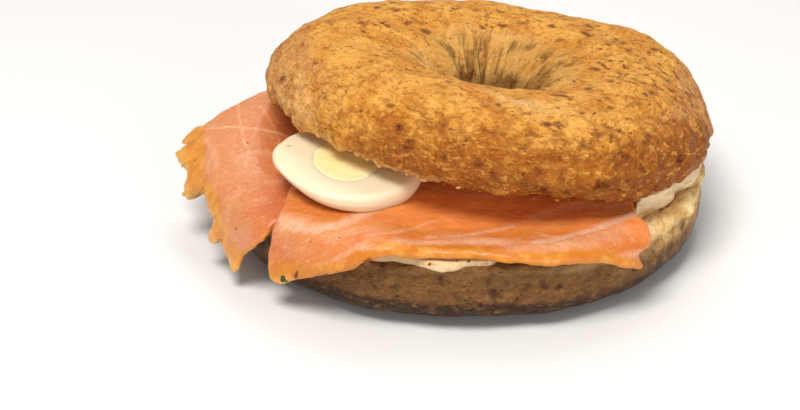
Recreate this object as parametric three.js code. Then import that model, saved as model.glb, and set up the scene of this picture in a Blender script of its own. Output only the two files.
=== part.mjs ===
// Salmon bagel: two bread rings, cream cheese, two slices of smoked salmon and a slice of egg.
// Millimetres, +Z up, +X to the right, -Y to the front, where the filling shows.
import * as THREE from "three";

// ---- bread: lower half ---------------------------------------------------------------
const LOWER_R = 59.4; // widest radius
const LOWER_H = 17.5; // underside to cut face
const LOWER_WIDEST_Z = 8.0;
const LOWER_FLAT_R = 43.0; // outer radius of the flat underside
const LOWER_OVAL = [0.037, 0.04, -0.017, 0.006]; // hand-shaped, so not quite round
const RIM_SHARE = 0.955; // cut rim over widest radius

// ---- bread: upper half ---------------------------------------------------------------
const UPPER_R = 58.3;
const UPPER_H = 18.0; // cut face to crown
const UPPER_OVAL = [0.017, -0.02, -0.024, 0.012];
const UPPER_PITCH = 2.8; // degrees, front edge up
const UPPER_ROLL = 5.5; // degrees, left edge up
const UPPER_AT = [5.4, 11.8, 26.9]; // centre of its cut face

const HOLE_R = 11.0; // the hole through both halves, at its narrowest
const HOLE_MOUTH_R = 30.0; // where its rounded edge has become flat bread

// ---- cream cheese --------------------------------------------------------------------
const GAP = 0.25; // clearance between layers
const CHEESE_T = 1.2;
const CHEESE_IN_R = 15.0;
const CHEESE_REACH = 0.93; // share of the cut rim's radius that it covers
const CHEESE_SQUEEZED = 0.065; // share more where it is pressed out
const CHEESE_FRONT = { at: 259, wide: 14 }; // degrees round: middle and half width
const CHEESE_RIGHT = { at: -6, wide: 28 };
const CHEESE_WAVES = [[5, 0.012, 1], [9, 0.008, 0]]; // its edge: waves round, share, phase
const CHEESE_FILL_X = 40.0; // right of this it rises to the upper half
const CHEESE_FILL_OVER = 4.0; // distance over which it rises
const CHEESE_FILL_MOST = 5.0; // its greatest height above the cut face
const CHEESE_HEADROOM = 1.9; // what it leaves free elsewhere under the upper half
const CHEESE_ACROSS = [0.965, 0.88, 0.75, 0.6, 0.35, 0]; // stops of its upper side, edge to hole
const CHEESE_UNDER_IN = 0.6; // how much narrower its underside is

// ---- salmon, left slice --------------------------------------------------------------
const A_T = 2.0;
const A_Z = LOWER_H + 2 * GAP + CHEESE_T + A_T / 2;
const A_SIZE = [50, 55]; // rough width and length, for its thin edges
const A_THIN = 0.35; // share of the thickness left at the edges
const A_LIFT = 7.2; // how far its back corner stands up off the bread
const A_LIFT_AT = [150, 205]; // degrees round: fully lifted, flat
const A_LIFT_R = [46, 58]; // radius: flat, fully lifted
const A_DROOP = [20, 75]; // degrees down beyond the rim, at the back and at the front
const A_DROOP_AT = [165, 210]; // degrees round for those two
const A_BEND = 14.0; // length of the bend over the rim
const A_BACK = [[-20, 37], [-52, 26.5], [-74.5, 11.5]]; // x, y
const A_FRONT = [[-20, -38.3], [-60, -39.2], [-69.8, -40.5]]; // x, y
const A_INNER = [[37, -20], [-38.3, -20]]; // y, x
const A_TORN = [ // y, x of the ragged outer end
  [11.5, -74.5], [9.5, -77.5], [7.5, -76], [6.3, -80.5], [-4, -76.6], [-8, -79.3],
  [-12.5, -76.5], [-14.5, -71], [-20, -69.2], [-26, -73], [-31, -70.2], [-36, -69], [-40.5, -69.8],
];

// ---- salmon, front slice -------------------------------------------------------------
const B_T = 2.5;
const B_LEAST_T = 1.1; // where the upper half presses on it
const B_Z = LOWER_H + 2 * GAP + CHEESE_T + B_T / 2;
const B_SIZE = [90, 100];
const B_THIN = 0.4;
const B_CLIMB_X = -13.0; // left of this it lies on the left slice
const B_CLIMB_OVER = 9.0;
const B_CLIMB = A_T + GAP;
const B_HANG = 80.0; // degrees down beyond the rim
const B_BEND = 9.0;
const BEND_BEFORE_RIM = 1.5; // both slices begin to bend this far inside the rim
const B_FOLD_EVERY = 26.0; // between the crests of its hidden folds
const B_FOLD_AT = 6.0; // first crest
const B_FOLD_SKEW = 0.18; // the crests run a little aslant
const B_FOLD_FROM = -9.0; // nearer than this it lies flat
const B_FOLD_OVER = 8.0;
const B_LEFT = [[50, -28], [20, -35], [-10, -43], [-23, -46.4], [-36, -48.2], [-50, -57.6]]; // y, x
const B_RIGHT = [[38, 36], [0, 39], [-31, 39], [-37, 38.6], [-43.7, 42.8], [-51.5, 42.8]]; // y, x
const B_BACK = [[-28, 50], [36, 38]]; // x, y
const B_FRONT = [ // x, y
  [-57.6, -50], [-49, -54.3], [-37, -57], [-27, -57.3], [-10, -57], [0, -57.2], [7, -58.2],
  [16, -58], [25, -55.2], [36, -53.6], [42.8, -51.5],
];
const EDGE_TAPER = 4.0; // a slice reaches its full thickness this far from its edge

// ---- egg -----------------------------------------------------------------------------
const EGG_R = 19.4;
const EGG_T = 5.0;
const EGG_AT = [-32.5, -22.9, 30.2]; // centre of its upper face
const EGG_TILT = 2.5; // degrees, front edge down
const EGG_ROLL = 4.2; // degrees, left edge up
const EGG_PRESSED = { at: 218, wide: 42, in: 1.6 }; // degrees round, and how far its side is in
const EGG_TUCK = 3.0; // how much further its lower edge is drawn in there
const EGG_THINNED = 0.35; // share of the thickness lost there
const YOLK_SIZE = [8.4, 10.8]; // half width and half length of its oval
const YOLK_OFF = [0.3, 0.3]; // yolk centre from egg centre

// ---- fineness ------------------------------------------------------------------------
const BREAD_TURNS = 48;
const CHEESE_TURNS = 44;
const EGG_TURNS = 44;
const YOLK_TURNS = 40;
const A_STOPS = 14;
const B_STOPS = [22, 26];

const LOOKS = {
  bagel_bottom: { color: 0xb98a55, roughness: 0.75 },
  cream_cheese: { color: 0xf0e6d2, roughness: 0.5 },
  salmon_left: { color: 0xe88a5c, roughness: 0.35 },
  salmon_front: { color: 0xe8763a, roughness: 0.35 },
  egg_white: { color: 0xf8f2e4, roughness: 0.4 },
  egg_yolk: { color: 0xf4d98a, roughness: 0.6 },
  bagel_top: { color: 0xc98a4a, roughness: 0.7 },
};

// ---- numbers -------------------------------------------------------------------------
const RAD = Math.PI / 180;
const clamp01 = (t) => Math.min(1, Math.max(0, t));
const mix = (a, b, t) => a + (b - a) * t;

// Smooth rise from 0 to 1 as t goes from 0 to 1.
function ease(t) {
  const c = clamp01(t);
  return c * c * (3 - 2 * c);
}

// The same as x goes from one number to another.
const between = (x, [from, to]) => ease((x - from) / (to - from));

// Bell-shaped share at angle th (radians) around a middle given in degrees.
function bump(th, { at, wide }) {
  const away = ((((th / RAD - at) % 360) + 540) % 360) - 180;
  return Math.exp(-((away / wide) ** 2));
}

// Straight-line curve through a few [x, y] corners.
function through(x, corners) {
  const c = corners.slice().sort((p, q) => p[0] - q[0]);
  if (x <= c[0][0]) return c[0][1];
  for (let i = 1; i < c.length; i++) {
    if (x <= c[i][0]) {
      return mix(c[i - 1][1], c[i][1], (x - c[i - 1][0]) / (c[i][0] - c[i - 1][0]));
    }
  }
  return c[c.length - 1][1];
}

// Edge curves of a 0..1 parameter, from corners given as [x, y] or as [y, x].
function alongX(corners) {
  const ends = [corners[0][0], corners[corners.length - 1][0]];
  return (t) => [mix(...ends, t), through(mix(...ends, t), corners)];
}
const alongY = (corners) => (t) => alongX(corners)(t).reverse();

// Radius factor of a hand-shaped ring at angle th.
function oval(th, k) {
  const two = k[0] * Math.cos(2 * th) + k[1] * Math.sin(2 * th);
  const three = k[2] * Math.cos(3 * th) + k[3] * Math.sin(3 * th);
  return 1 + two + three;
}

const lowerRim = (th) => LOWER_R * RIM_SHARE * oval(th, LOWER_OVAL);

// Pitch about X, then roll about Y.
const tilted = (pitch, roll) => new THREE.Euler(pitch * RAD, roll * RAD, 0, "YXZ");

// Height of the upper half's cut face above the point x, y.
function upperFloor(x, y) {
  const n = new THREE.Vector3(0, 0, 1).applyEuler(tilted(-UPPER_PITCH, UPPER_ROLL));
  return UPPER_AT[2] - (n.x * (x - UPPER_AT[0]) + n.y * (y - UPPER_AT[1])) / n.z;
}

// ---- mesh helpers --------------------------------------------------------------------
function named(name, geometry) {
  const material = new THREE.MeshStandardMaterial({ ...LOOKS[name], metalness: 0 });
  material.name = name + "_mat";
  const mesh = new THREE.Mesh(geometry, material);
  mesh.name = name;
  return mesh;
}

function surface(points, faces) {
  const geometry = new THREE.BufferGeometry();
  geometry.setAttribute("position", new THREE.Float32BufferAttribute(points.flat(), 3));
  geometry.setIndex(faces.flat());
  geometry.computeVertexNormals();
  return geometry;
}

// A ring swept from a closed section: section(th) gives [r, z] pairs, counter-clockwise
// with r to the right and z up.
function ring(section, turns) {
  const points = [];
  const faces = [];
  const m = section(0).length;
  for (let i = 0; i < turns; i++) {
    const th = (i / turns) * 2 * Math.PI;
    for (const [r, z] of section(th)) points.push([r * Math.cos(th), r * Math.sin(th), z]);
  }
  for (let i = 0; i < turns; i++) {
    const next = ((i + 1) % turns) * m;
    for (let j = 0; j < m; j++) {
      const up = (j + 1) % m;
      faces.push([i * m + j, next + j, next + up], [i * m + j, next + up, i * m + up]);
    }
  }
  return surface(points, faces);
}

// A sheet of varying thickness: mid(u, v) is the middle surface, thick(u, v) the thickness,
// us and vs the stops of its grid, each rising from 0 to 1.
function sheet(mid, thick, us, vs) {
  const nu = us.length - 1;
  const nv = vs.length - 1;
  const small = 0.01;
  const vec = (u, v) => new THREE.Vector3(...mid(clamp01(u), clamp01(v)));
  const normal = (u, v) => {
    const du = vec(u + small, v).sub(vec(u - small, v));
    const dv = vec(u, v + small).sub(vec(u, v - small));
    return du.cross(dv).normalize();
  };
  const flip = normal(0.5, 0.5).z < 0;
  const top = [];
  const bottom = [];
  for (const u of us) {
    for (const v of vs) {
      const n = normal(u, v);
      if (flip) n.negate();
      const half = thick(u, v) / 2;
      top.push(vec(u, v).addScaledVector(n, half).toArray());
      bottom.push(vec(u, v).addScaledVector(n, -half).toArray());
    }
  }
  const low = top.length;
  const id = (i, j) => i * (nv + 1) + j;
  const faces = [];
  const quad = (p, q, r, s) => {
    if (flip) faces.push([p, r, q], [p, s, r]);
    else faces.push([p, q, r], [p, r, s]);
  };
  for (let i = 0; i < nu; i++) {
    for (let j = 0; j < nv; j++) {
      quad(id(i, j), id(i + 1, j), id(i + 1, j + 1), id(i, j + 1));
      quad(low + id(i, j), low + id(i, j + 1), low + id(i + 1, j + 1), low + id(i + 1, j));
    }
  }
  for (let i = 0; i < nu; i++) {
    quad(id(i, 0), low + id(i, 0), low + id(i + 1, 0), id(i + 1, 0));
    quad(id(i + 1, nv), low + id(i + 1, nv), low + id(i, nv), id(i, nv));
  }
  for (let j = 0; j < nv; j++) {
    quad(id(0, j + 1), low + id(0, j + 1), low + id(0, j), id(0, j));
    quad(id(nu, j), low + id(nu, j), low + id(nu, j + 1), id(nu, j + 1));
  }
  return surface(top.concat(bottom), faces);
}

// Stops from 0 to 1, closer together towards both ends.
function stops(n) {
  const stop = (t) => mix(t, 0.5 - 0.5 * Math.cos(Math.PI * t), 0.5);
  return Array.from({ length: n + 1 }, (_, i) => stop(i / n));
}

// Smooth closed run of [r, z] corners, each span cut in two.
function smooth(corners) {
  const n = corners.length;
  const out = [];
  for (let i = 0; i < n; i++) {
    const [p0, p1, p2, p3] = [-1, 0, 1, 2].map((k) => corners[(i + k + n) % n]);
    out.push(p1, [0, 1].map((c) => (9 * (p1[c] + p2[c]) - p0[c] - p3[c]) / 16));
  }
  return out;
}

// ---- bread ---------------------------------------------------------------------------
// Outer wall and hole wall are rounded; cut face and underside stay flat.
function lowerSection() {
  const R = LOWER_R;
  const H = LOWER_H;
  const widest = LOWER_WIDEST_Z;
  const round = smooth([
    [HOLE_R, 10], [13, 4], [20, 0.8], [HOLE_MOUTH_R, 0], [LOWER_FLAT_R, 0], [51.2, 0.9],
    [R * 0.965, widest * 0.47], [R, widest], [R * 0.99, (H + widest) / 2 + 1],
    [R * RIM_SHARE, H], [HOLE_MOUTH_R, H], [12, H],
  ]);
  return round.map(([r, z]) => [r, Math.min(H, Math.max(0, z))]);
}

function upperSection() {
  const R = UPPER_R;
  const H = UPPER_H;
  const round = smooth([
    [HOLE_R, 0], [HOLE_MOUTH_R, 0], [R * 0.87, 0], [R * 0.965, 0], [R, H * 0.22],
    [R * 0.975, H * 0.5], [R * 0.89, H * 0.78], [R * 0.75, H * 0.97], [34, H], [25, H * 0.9],
    [18, H * 0.66], [13, H * 0.33],
  ]);
  return round.map(([r, z]) => [r, Math.max(0, z)]);
}

// A bread ring: the same section all round, wider or narrower with the oval.
function breadRing(flat, shape) {
  return ring((th) => flat.map(([r, z]) => [r * oval(th, shape), z]), BREAD_TURNS);
}

const lowerBread = () => named("bagel_bottom", breadRing(lowerSection(), LOWER_OVAL));

function upperBread() {
  const mesh = named("bagel_top", breadRing(upperSection(), UPPER_OVAL));
  mesh.position.set(...UPPER_AT);
  mesh.rotation.copy(tilted(-UPPER_PITCH, UPPER_ROLL));
  return mesh;
}

// ---- cream cheese --------------------------------------------------------------------
// Spread over the cut face. To the right of the front slice it fills the gap up to the
// upper half.
function cheeseTop(x, y) {
  const spread = Math.min(LOWER_H + GAP + CHEESE_T, upperFloor(x, y) - CHEESE_HEADROOM);
  const fill = Math.min(LOWER_H + CHEESE_FILL_MOST, upperFloor(x, y) - GAP);
  return mix(spread, fill, ease((x - CHEESE_FILL_X) / CHEESE_FILL_OVER));
}

function cheeseSection(th) {
  const pressed = Math.max(bump(th, CHEESE_FRONT), bump(th, CHEESE_RIGHT));
  const waves = CHEESE_WAVES.map(([n, share, phase]) => share * Math.sin(n * th + phase));
  const out = lowerRim(th) * (CHEESE_REACH + CHEESE_SQUEEZED * pressed + waves[0] + waves[1]);
  const inner = CHEESE_IN_R * oval(th, LOWER_OVAL);
  const low = LOWER_H + GAP;
  const upper = CHEESE_ACROSS.map((share) => {
    const r = mix(inner, out, share);
    return [r, cheeseTop(r * Math.cos(th), r * Math.sin(th))];
  });
  const wall = [out, mix(low, upper[0][1], 0.45)];
  const under = [[inner, low], [mix(inner, out, 0.6), low], [out - CHEESE_UNDER_IN, low]];
  return [...under, wall, ...upper];
}

const creamCheese = () => named("cream_cheese", ring(cheeseSection, CHEESE_TURNS));

// ---- salmon --------------------------------------------------------------------------
// A flat slice laid on the bread: beyond the rim it bends down by an angle and hangs.
function drape(x, y, z, angle, bend, start) {
  const th = Math.atan2(y, x);
  const edge = lowerRim(th) - start;
  const over = Math.max(0, Math.hypot(x, y) - edge);
  const steps = 16;
  let r = Math.min(Math.hypot(x, y), edge);
  let h = z;
  for (let k = 0; k < steps; k++) {
    const dip = angle * RAD * ease((over * (k + 0.5)) / steps / bend);
    r += (Math.cos(dip) * over) / steps;
    h -= (Math.sin(dip) * over) / steps;
  }
  return [r * Math.cos(th), r * Math.sin(th), h];
}

// Four-sided patch from its four edge curves, each [x, y] of a 0..1 parameter.
function patch(left, right, back, front) {
  const [c00, c10, c01, c11] = [back(0), back(1), front(0), front(1)];
  return (u, v) => [0, 1].map((c) => {
    const ends = (1 - u) * left(v)[c] + u * right(v)[c];
    const sides = (1 - v) * back(u)[c] + v * front(u)[c];
    const low = (1 - v) * ((1 - u) * c00[c] + u * c10[c]);
    const high = v * ((1 - u) * c01[c] + u * c11[c]);
    return ends + sides - low - high;
  });
}

// Share of the full thickness: a slice of the given size thins out towards its edges.
function taper(u, v, [wide, long], thin) {
  const toEdge = Math.min(u * wide, (1 - u) * wide, v * long, (1 - v) * long);
  return mix(thin, 1, ease(toEdge / EDGE_TAPER));
}

// Left slice: its inner end lies under the bread, its torn end beyond the rim.
function sliceAMid(x, y) {
  const round = (Math.atan2(y, x) / RAD + 360) % 360;
  const up = (1 - between(round, A_LIFT_AT)) * between(Math.hypot(x, y), A_LIFT_R);
  const z = Math.min(A_Z + A_LIFT * up, upperFloor(x, y) - 2 * GAP - A_T / 2);
  return drape(x, y, z, mix(...A_DROOP, between(round, A_DROOP_AT)), A_BEND, BEND_BEFORE_RIM);
}

function salmonLeft() {
  const plan = patch(alongY(A_INNER), alongY(A_TORN), alongX(A_BACK), alongX(A_FRONT));
  const mid = (u, v) => sliceAMid(...plan(u, v));
  const thick = (u, v) => A_T * taper(u, v, A_SIZE, A_THIN);
  const last = A_TORN.length - 1;
  const rows = [];
  for (const [y] of A_TORN) {
    const v = (A_TORN[0][0] - y) / (A_TORN[0][0] - A_TORN[last][0]);
    if (rows.length > 0) rows.push((rows[rows.length - 1] + v) / 2);
    rows.push(v);
  }
  return named("salmon_left", sheet(mid, thick, stops(A_STOPS), rows));
}

// Front slice: a long strip whose two ends hang over the round rim. Under the upper half
// it is ruffled: its folds rise to the bread above.
function sliceBMid(x, y) {
  const climbed = ease((B_CLIMB_X - x) / B_CLIMB_OVER);
  const low = B_Z + B_CLIMB * climbed;
  const high = upperFloor(x, y) - 2 * GAP - B_T / 2;
  const back = y + B_FOLD_SKEW * x;
  const fold = 0.5 + 0.5 * Math.cos((2 * Math.PI * (back - B_FOLD_AT)) / B_FOLD_EVERY);
  const rise = Math.max(0, high - low) * fold * ease((back - B_FOLD_FROM) / B_FOLD_OVER);
  const z = Math.min(low, high + GAP) + rise;
  return drape(x, y, z, B_HANG, B_BEND, BEND_BEFORE_RIM * (1 - climbed));
}

function salmonFront() {
  const plan = patch(alongY(B_LEFT), alongY(B_RIGHT), alongX(B_BACK), alongX(B_FRONT));
  const mid = (u, v) => sliceBMid(...plan(u, v));
  const thick = (u, v) => {
    const room = upperFloor(...plan(u, v)) - GAP - (B_Z - B_T / 2);
    return Math.min(B_T, Math.max(B_LEAST_T, room)) * taper(u, v, B_SIZE, B_THIN);
  };
  return named("salmon_front", sheet(mid, thick, ...B_STOPS.map(stops)));
}

// ---- egg -----------------------------------------------------------------------------
// Distance from the origin, in the direction th, to the edge of an oval centred on middle.
function toOval(th, middle, halves) {
  const way = new THREE.Vector2(Math.cos(th) / halves[0], Math.sin(th) / halves[1]);
  const start = new THREE.Vector2(-middle[0] / halves[0], -middle[1] / halves[1]);
  const back = start.dot(way);
  return (Math.sqrt(back * back - way.lengthSq() * (start.lengthSq() - 1)) - back) / way.lengthSq();
}

// White: a disc with a barrel side and an oval pocket right through for the yolk. On one
// side it is pressed in, thinner and tucked under.
function whiteSection(th) {
  const R = EGG_R;
  const T = EGG_T;
  const share = bump(th, EGG_PRESSED);
  const barrel = [[R - 1.2, -T], [R - 0.35, -T * 0.8], [R, -T * 0.5], [R - 0.4, -T * 0.2], [R - 1.1, 0]];
  const side = barrel.map(([r, z]) => [
    r - share * (EGG_PRESSED.in - EGG_TUCK * (z / T)),
    z * (1 - EGG_THINNED * share),
  ]);
  const pocket = toOval(th, YOLK_OFF, YOLK_SIZE.map((half) => half + GAP));
  return [[pocket, -T], ...side, [pocket, 0]];
}

const eggWhite = () => named("egg_white", ring(whiteSection, EGG_TURNS));

function eggYolk() {
  const outline = new THREE.Shape().absellipse(0, 0, ...YOLK_SIZE, 0, 2 * Math.PI);
  const slab = { depth: EGG_T, bevelEnabled: false, curveSegments: YOLK_TURNS };
  const mesh = named("egg_yolk", new THREE.ExtrudeGeometry(outline, slab));
  mesh.position.set(...YOLK_OFF, -EGG_T);
  return mesh;
}

function eggSlice() {
  const egg = new THREE.Group();
  egg.add(eggWhite(), eggYolk());
  egg.position.set(...EGG_AT);
  egg.rotation.copy(tilted(EGG_TILT, EGG_ROLL));
  return egg;
}

// ---- assembly ------------------------------------------------------------------------
const layers = new THREE.Group();
layers.add(lowerBread(), creamCheese(), salmonLeft(), salmonFront(), eggSlice(), upperBread());

// The origin goes to the middle of the whole's footprint, at its underside.
const box = new THREE.Box3().setFromObject(layers, true);
const middle = box.getCenter(new THREE.Vector3());
layers.position.set(-middle.x, -middle.y, -box.min.z);

const bagel = new THREE.Group();
bagel.name = "salmon_bagel";
bagel.add(layers);

export default bagel;
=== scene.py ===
"""Salmon bagel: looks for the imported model. Shapes are worked out in millimetres, in the
bagel's own frame (middle of the lower bread ring, on the plate), and moved to the row frame."""
import math

import bmesh
import bpy
import numpy as np
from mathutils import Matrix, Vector


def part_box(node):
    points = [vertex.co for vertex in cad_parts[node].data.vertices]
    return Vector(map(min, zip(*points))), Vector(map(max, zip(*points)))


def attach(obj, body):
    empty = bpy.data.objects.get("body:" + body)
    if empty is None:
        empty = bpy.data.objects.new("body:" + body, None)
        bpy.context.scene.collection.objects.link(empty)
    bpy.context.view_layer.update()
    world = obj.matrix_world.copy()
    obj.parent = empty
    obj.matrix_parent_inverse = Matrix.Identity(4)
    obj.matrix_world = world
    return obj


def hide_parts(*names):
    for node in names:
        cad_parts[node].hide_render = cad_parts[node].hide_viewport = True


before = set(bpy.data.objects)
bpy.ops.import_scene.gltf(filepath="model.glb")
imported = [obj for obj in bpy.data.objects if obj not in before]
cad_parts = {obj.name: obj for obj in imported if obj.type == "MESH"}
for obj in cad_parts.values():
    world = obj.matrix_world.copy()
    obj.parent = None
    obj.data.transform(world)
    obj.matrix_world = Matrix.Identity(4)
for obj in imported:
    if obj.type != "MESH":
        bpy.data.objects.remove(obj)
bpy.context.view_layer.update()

# ---- sizes in mm and degrees, the same as in the solids unless it says otherwise -----
LOWER_R, LOWER_H, LOWER_WIDEST_Z, LOWER_FLAT_R = 59.4, 17.5, 8.0, 43.0
LOWER_OVAL = (0.037, 0.040, -0.017, 0.006)
RIM_SHARE, UPPER_RIM = 0.955, 0.965  # where the cut rims of the two halves are, over the radius
UPPER_R, UPPER_H = 58.3, 18.0
UPPER_OVAL = (0.017, -0.020, -0.024, 0.012)
UPPER_PITCH, UPPER_ROLL, UPPER_AT = 2.8, 5.5, (5.4, 11.8, 26.9)
HOLE_R, HOLE_MOUTH_R = 11, 30  # the hole at its narrowest, and where its mouth ends
GAP, CHEESE_T, CHEESE_IN_R = 0.25, 1.2, 15.0
CHEESE_HEADROOM = 1.9
CHEESE_FILL_X, CHEESE_FILL_WIDE, CHEESE_FILL_MOST = 38.8, 1.2, 5
SLICE_A_T, SLICE_B_T = 2.0, 2.5
SLICE_A_Z = LOWER_H + 2 * GAP + CHEESE_T + SLICE_A_T / 2
SLICE_B_Z = LOWER_H + 2 * GAP + CHEESE_T + SLICE_B_T / 2
B_OVER_A = SLICE_A_T + GAP
# how the slices hang: mm over which they bend, mm inside the rim where that starts
A_BEND, B_BEND, BEND_START = 14, 9, 1.5
A_LIFT = 7.2  # how far the back of the left slice stays up
B_HANG = 80  # how steeply the front slice hangs
B_CLIMB_X, B_CLIMB_WIDE = -13, 9  # where the front slice climbs on to the left one
FOLD_EVERY, FOLD_AT, FOLD_SLANT = 26.0, 6.0, 0.18
FOLD_PRESS = 0.85  # only here: how far its folds rise more, so that no light comes through
EGG_R, EGG_T, EGG_TILT, EGG_ROLL = 19.4, 5.0, 2.5, 4.2
EGG_AT = (-32.5, -22.9, 29.4)  # 0.8 mm lower than the solid, so that it lies on the salmon
EGG_EDGE = 2.0  # how round the edges of the white are
YOLK_SIZE, YOLK_OFF = (8.4, 10.8), (0.3, 0.3)  # half width and half length; from the egg's centre

MM, PER_M = 0.001, 1000  # a millimetre in metres, and how many make a metre
FINE = 1.0  # share of the full mesh density
# rows of points round each ring, points across it, and mm between points along the bread
BREAD_TURNS, BREAD_STEP, SHOULDER_STEP, FLAT_STEP = 790, 0.84, 0.70, 4.0
CHEESE_GRID, EGG_TURNS, YOLK_GRID = (700, 96), 360, (220, 60)
UPPER_SPOT_COUNT, LOWER_SPOT_COUNT = 580, 190
RIM_CRUMBS, SHOULDER_CRUMBS = 60, 18
rng = np.random.default_rng(7)


# ---- small helpers -------------------------------------------------------------------
def ease(t):
    """Smooth step from 0 to 1."""
    t = np.clip(t, 0.0, 1.0)
    return t * t * (3 - 2 * t)


def mix(a, b, t):
    return a + (b - a) * t


def bump(x, width):
    """1 at x = 0, falling smoothly to nearly 0 at a few widths."""
    return np.exp(-((x / width) ** 2))


def through(x, corners):
    """Straight-line curve through a few (x, y) corners."""
    c = np.array(sorted(corners), float)
    return np.interp(x, c[:, 0], c[:, 1])


def oval(th, k):
    """Share of the radius at each angle, for an outline that isn't quite round."""
    two = k[0] * np.cos(2 * th) + k[1] * np.sin(2 * th)
    return 1 + two + k[2] * np.cos(3 * th) + k[3] * np.sin(3 * th)


def lower_rim(th):
    return LOWER_R * RIM_SHARE * oval(th, LOWER_OVAL)


def lattice(ix, iy, iz, seed):
    """A repeatable number from -1 to 1 for each lattice point."""
    h = (ix * 374761393 + iy * 668265263 + iz * 1442695041 + seed * 974711) & 0xFFFFFFFF
    h = ((h ^ (h >> 13)) * 1274126177) & 0xFFFFFFFF
    return ((h ^ (h >> 16)) & 0xFFFFFF) / float(0x7FFFFF) - 1.0


def noise(p, size, seed=0):
    """Smooth noise of points p (..., 3), with features about as large as size."""
    q = p / size
    cell = np.floor(q).astype(np.int64)
    f = q - cell
    f = f * f * f * (f * (f * 6 - 15) + 10)
    total = 0.0
    for corner in range(8):
        bits = np.array([corner & 1, (corner >> 1) & 1, (corner >> 2) & 1])
        weight = np.prod(np.where(bits == 1, f, 1 - f), axis=-1)
        ix, iy, iz = (cell[..., k] + bits[k] for k in range(3))
        total = total + weight * lattice(ix, iy, iz, seed)
    return total


def fbm(p, size, octaves=3, seed=0):
    """Noise with finer and weaker noise on it."""
    return sum(noise(p, size / 2 ** k, seed + 17 * k) / 2 ** k for k in range(octaves))


def turn(pitch, roll):
    """Rotation that lifts the front edge by pitch and the left edge by roll."""
    a, b = math.radians(pitch), math.radians(roll)
    rx = np.array([[1, 0, 0], [0, math.cos(a), math.sin(a)], [0, -math.sin(a), math.cos(a)]])
    ry = np.array([[math.cos(b), 0, math.sin(b)], [0, 1, 0], [-math.sin(b), 0, math.cos(b)]])
    return ry @ rx


UPPER_TURN = turn(UPPER_PITCH, UPPER_ROLL)
EGG_TURN = turn(-EGG_TILT, EGG_ROLL)


def upper_floor(x, y):
    """Height of the upper half's cut face over the point x, y."""
    n = UPPER_TURN @ np.array([0, 0, 1.0])
    return UPPER_AT[2] - (n[0] * (x - UPPER_AT[0]) + n[1] * (y - UPPER_AT[1])) / n[2]


def find_shift():
    """From the bagel's own frame to the row frame, in mm, found from the lower ring's box."""
    lo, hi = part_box("bagel_bottom")
    th = np.arange(48) / 48 * 2 * np.pi
    r = LOWER_R * oval(th, LOWER_OVAL)
    x, y = r * np.cos(th), r * np.sin(th)
    middle = (lo + hi) / 2 * PER_M
    return np.array([middle.x - (x.min() + x.max()) / 2, middle.y - (y.min() + y.max()) / 2, 0])


SHIFT = find_shift()


# ---- mesh building -------------------------------------------------------------------
def make_mesh(name, points, faces, attributes, material, node=None):
    """A smooth mesh from points in mm, riding on the bagel. It stands for a solid if a node is
    given, and has its colours in the slot. An attribute is a number or a vector for each point,
    or one number for all."""
    me = bpy.data.meshes.new(name)
    co = ((points.reshape(-1, 3) + SHIFT) * MM).astype(np.float32)
    me.vertices.add(len(co))
    me.vertices.foreach_set("co", co.ravel())
    sides = faces.shape[1]
    me.loops.add(faces.size)
    me.loops.foreach_set("vertex_index", faces.ravel().astype(np.int32))
    me.polygons.add(len(faces))
    me.polygons.foreach_set("loop_start", np.arange(len(faces), dtype=np.int32) * sides)
    me.polygons.foreach_set("loop_total", np.full(len(faces), sides, np.int32))
    me.update(calc_edges=True)
    me.validate()
    me.polygons.foreach_set("use_smooth", np.ones(len(me.polygons), bool))
    for key, values in attributes.items():
        values = np.asarray(values, np.float32)
        if values.size == co.size:
            data = me.attributes.new(key, "FLOAT_VECTOR", "POINT").data
            data.foreach_set("vector", values.ravel())
        else:
            data = me.attributes.new(key, "FLOAT", "POINT").data
            data.foreach_set("value", np.resize(values, len(co)))
    ob = bpy.data.objects.new(name, me)
    bpy.context.scene.collection.objects.link(ob)
    ob.data.materials.append(material)
    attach(ob, "root")
    if node:
        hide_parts(node)
    return ob


def ring_quads(turns, m):
    """Quads of a grid of turns x m points, closed both ways, facing out."""
    i, j = np.meshgrid(np.arange(turns), np.arange(m), indexing="ij")
    i2, j2 = (i + 1) % turns, (j + 1) % m
    return np.stack([i * m + j, i2 * m + j, i2 * m + j2, i * m + j2], -1).reshape(-1, 4)


def grid_normals(p, closed):
    """Unit normals of a grid of points (u, v, 3)."""
    def across(a, axis):
        if closed:
            return np.roll(a, -1, axis) - np.roll(a, 1, axis)
        return np.gradient(a, axis=axis)

    n = np.cross(across(p, 0), across(p, 1))
    return n / (np.linalg.norm(n, axis=-1, keepdims=True) + 1e-9)


def smooth_closed(corners, step):
    """Smooth closed run through [r, z] corners, with a point every step(r, z) mm, and how far
    along the run each point is."""
    c = np.array(corners, float)
    out = []
    for k in range(len(c)):
        p0, p1, p2, p3 = (c[(k + d) % len(c)] for d in (-1, 0, 1, 2))
        t = np.linspace(0, 1, 60, endpoint=False)[:, None]
        bend, twist = 2 * p0 - 5 * p1 + 4 * p2 - p3, -p0 + 3 * p1 - 3 * p2 + p3
        out.append(0.5 * (2 * p1 + (p2 - p0) * t + bend * t * t + twist * t ** 3))
    run = np.concatenate(out)
    loop = np.vstack([run, run[:1]])
    along = np.concatenate([[0], np.cumsum(np.linalg.norm(np.diff(loop, axis=0), axis=1))])
    stops = [0.0]
    while stops[-1] < along[-1]:
        here = np.array([np.interp(stops[-1], along, loop[:, k]) for k in (0, 1)])
        stops.append(stops[-1] + step(*here))
    stops = np.array(stops[:-1]) * along[-1] / stops[-1]
    return np.stack([np.interp(stops, along, loop[:, k]) for k in (0, 1)], 1), stops


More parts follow.
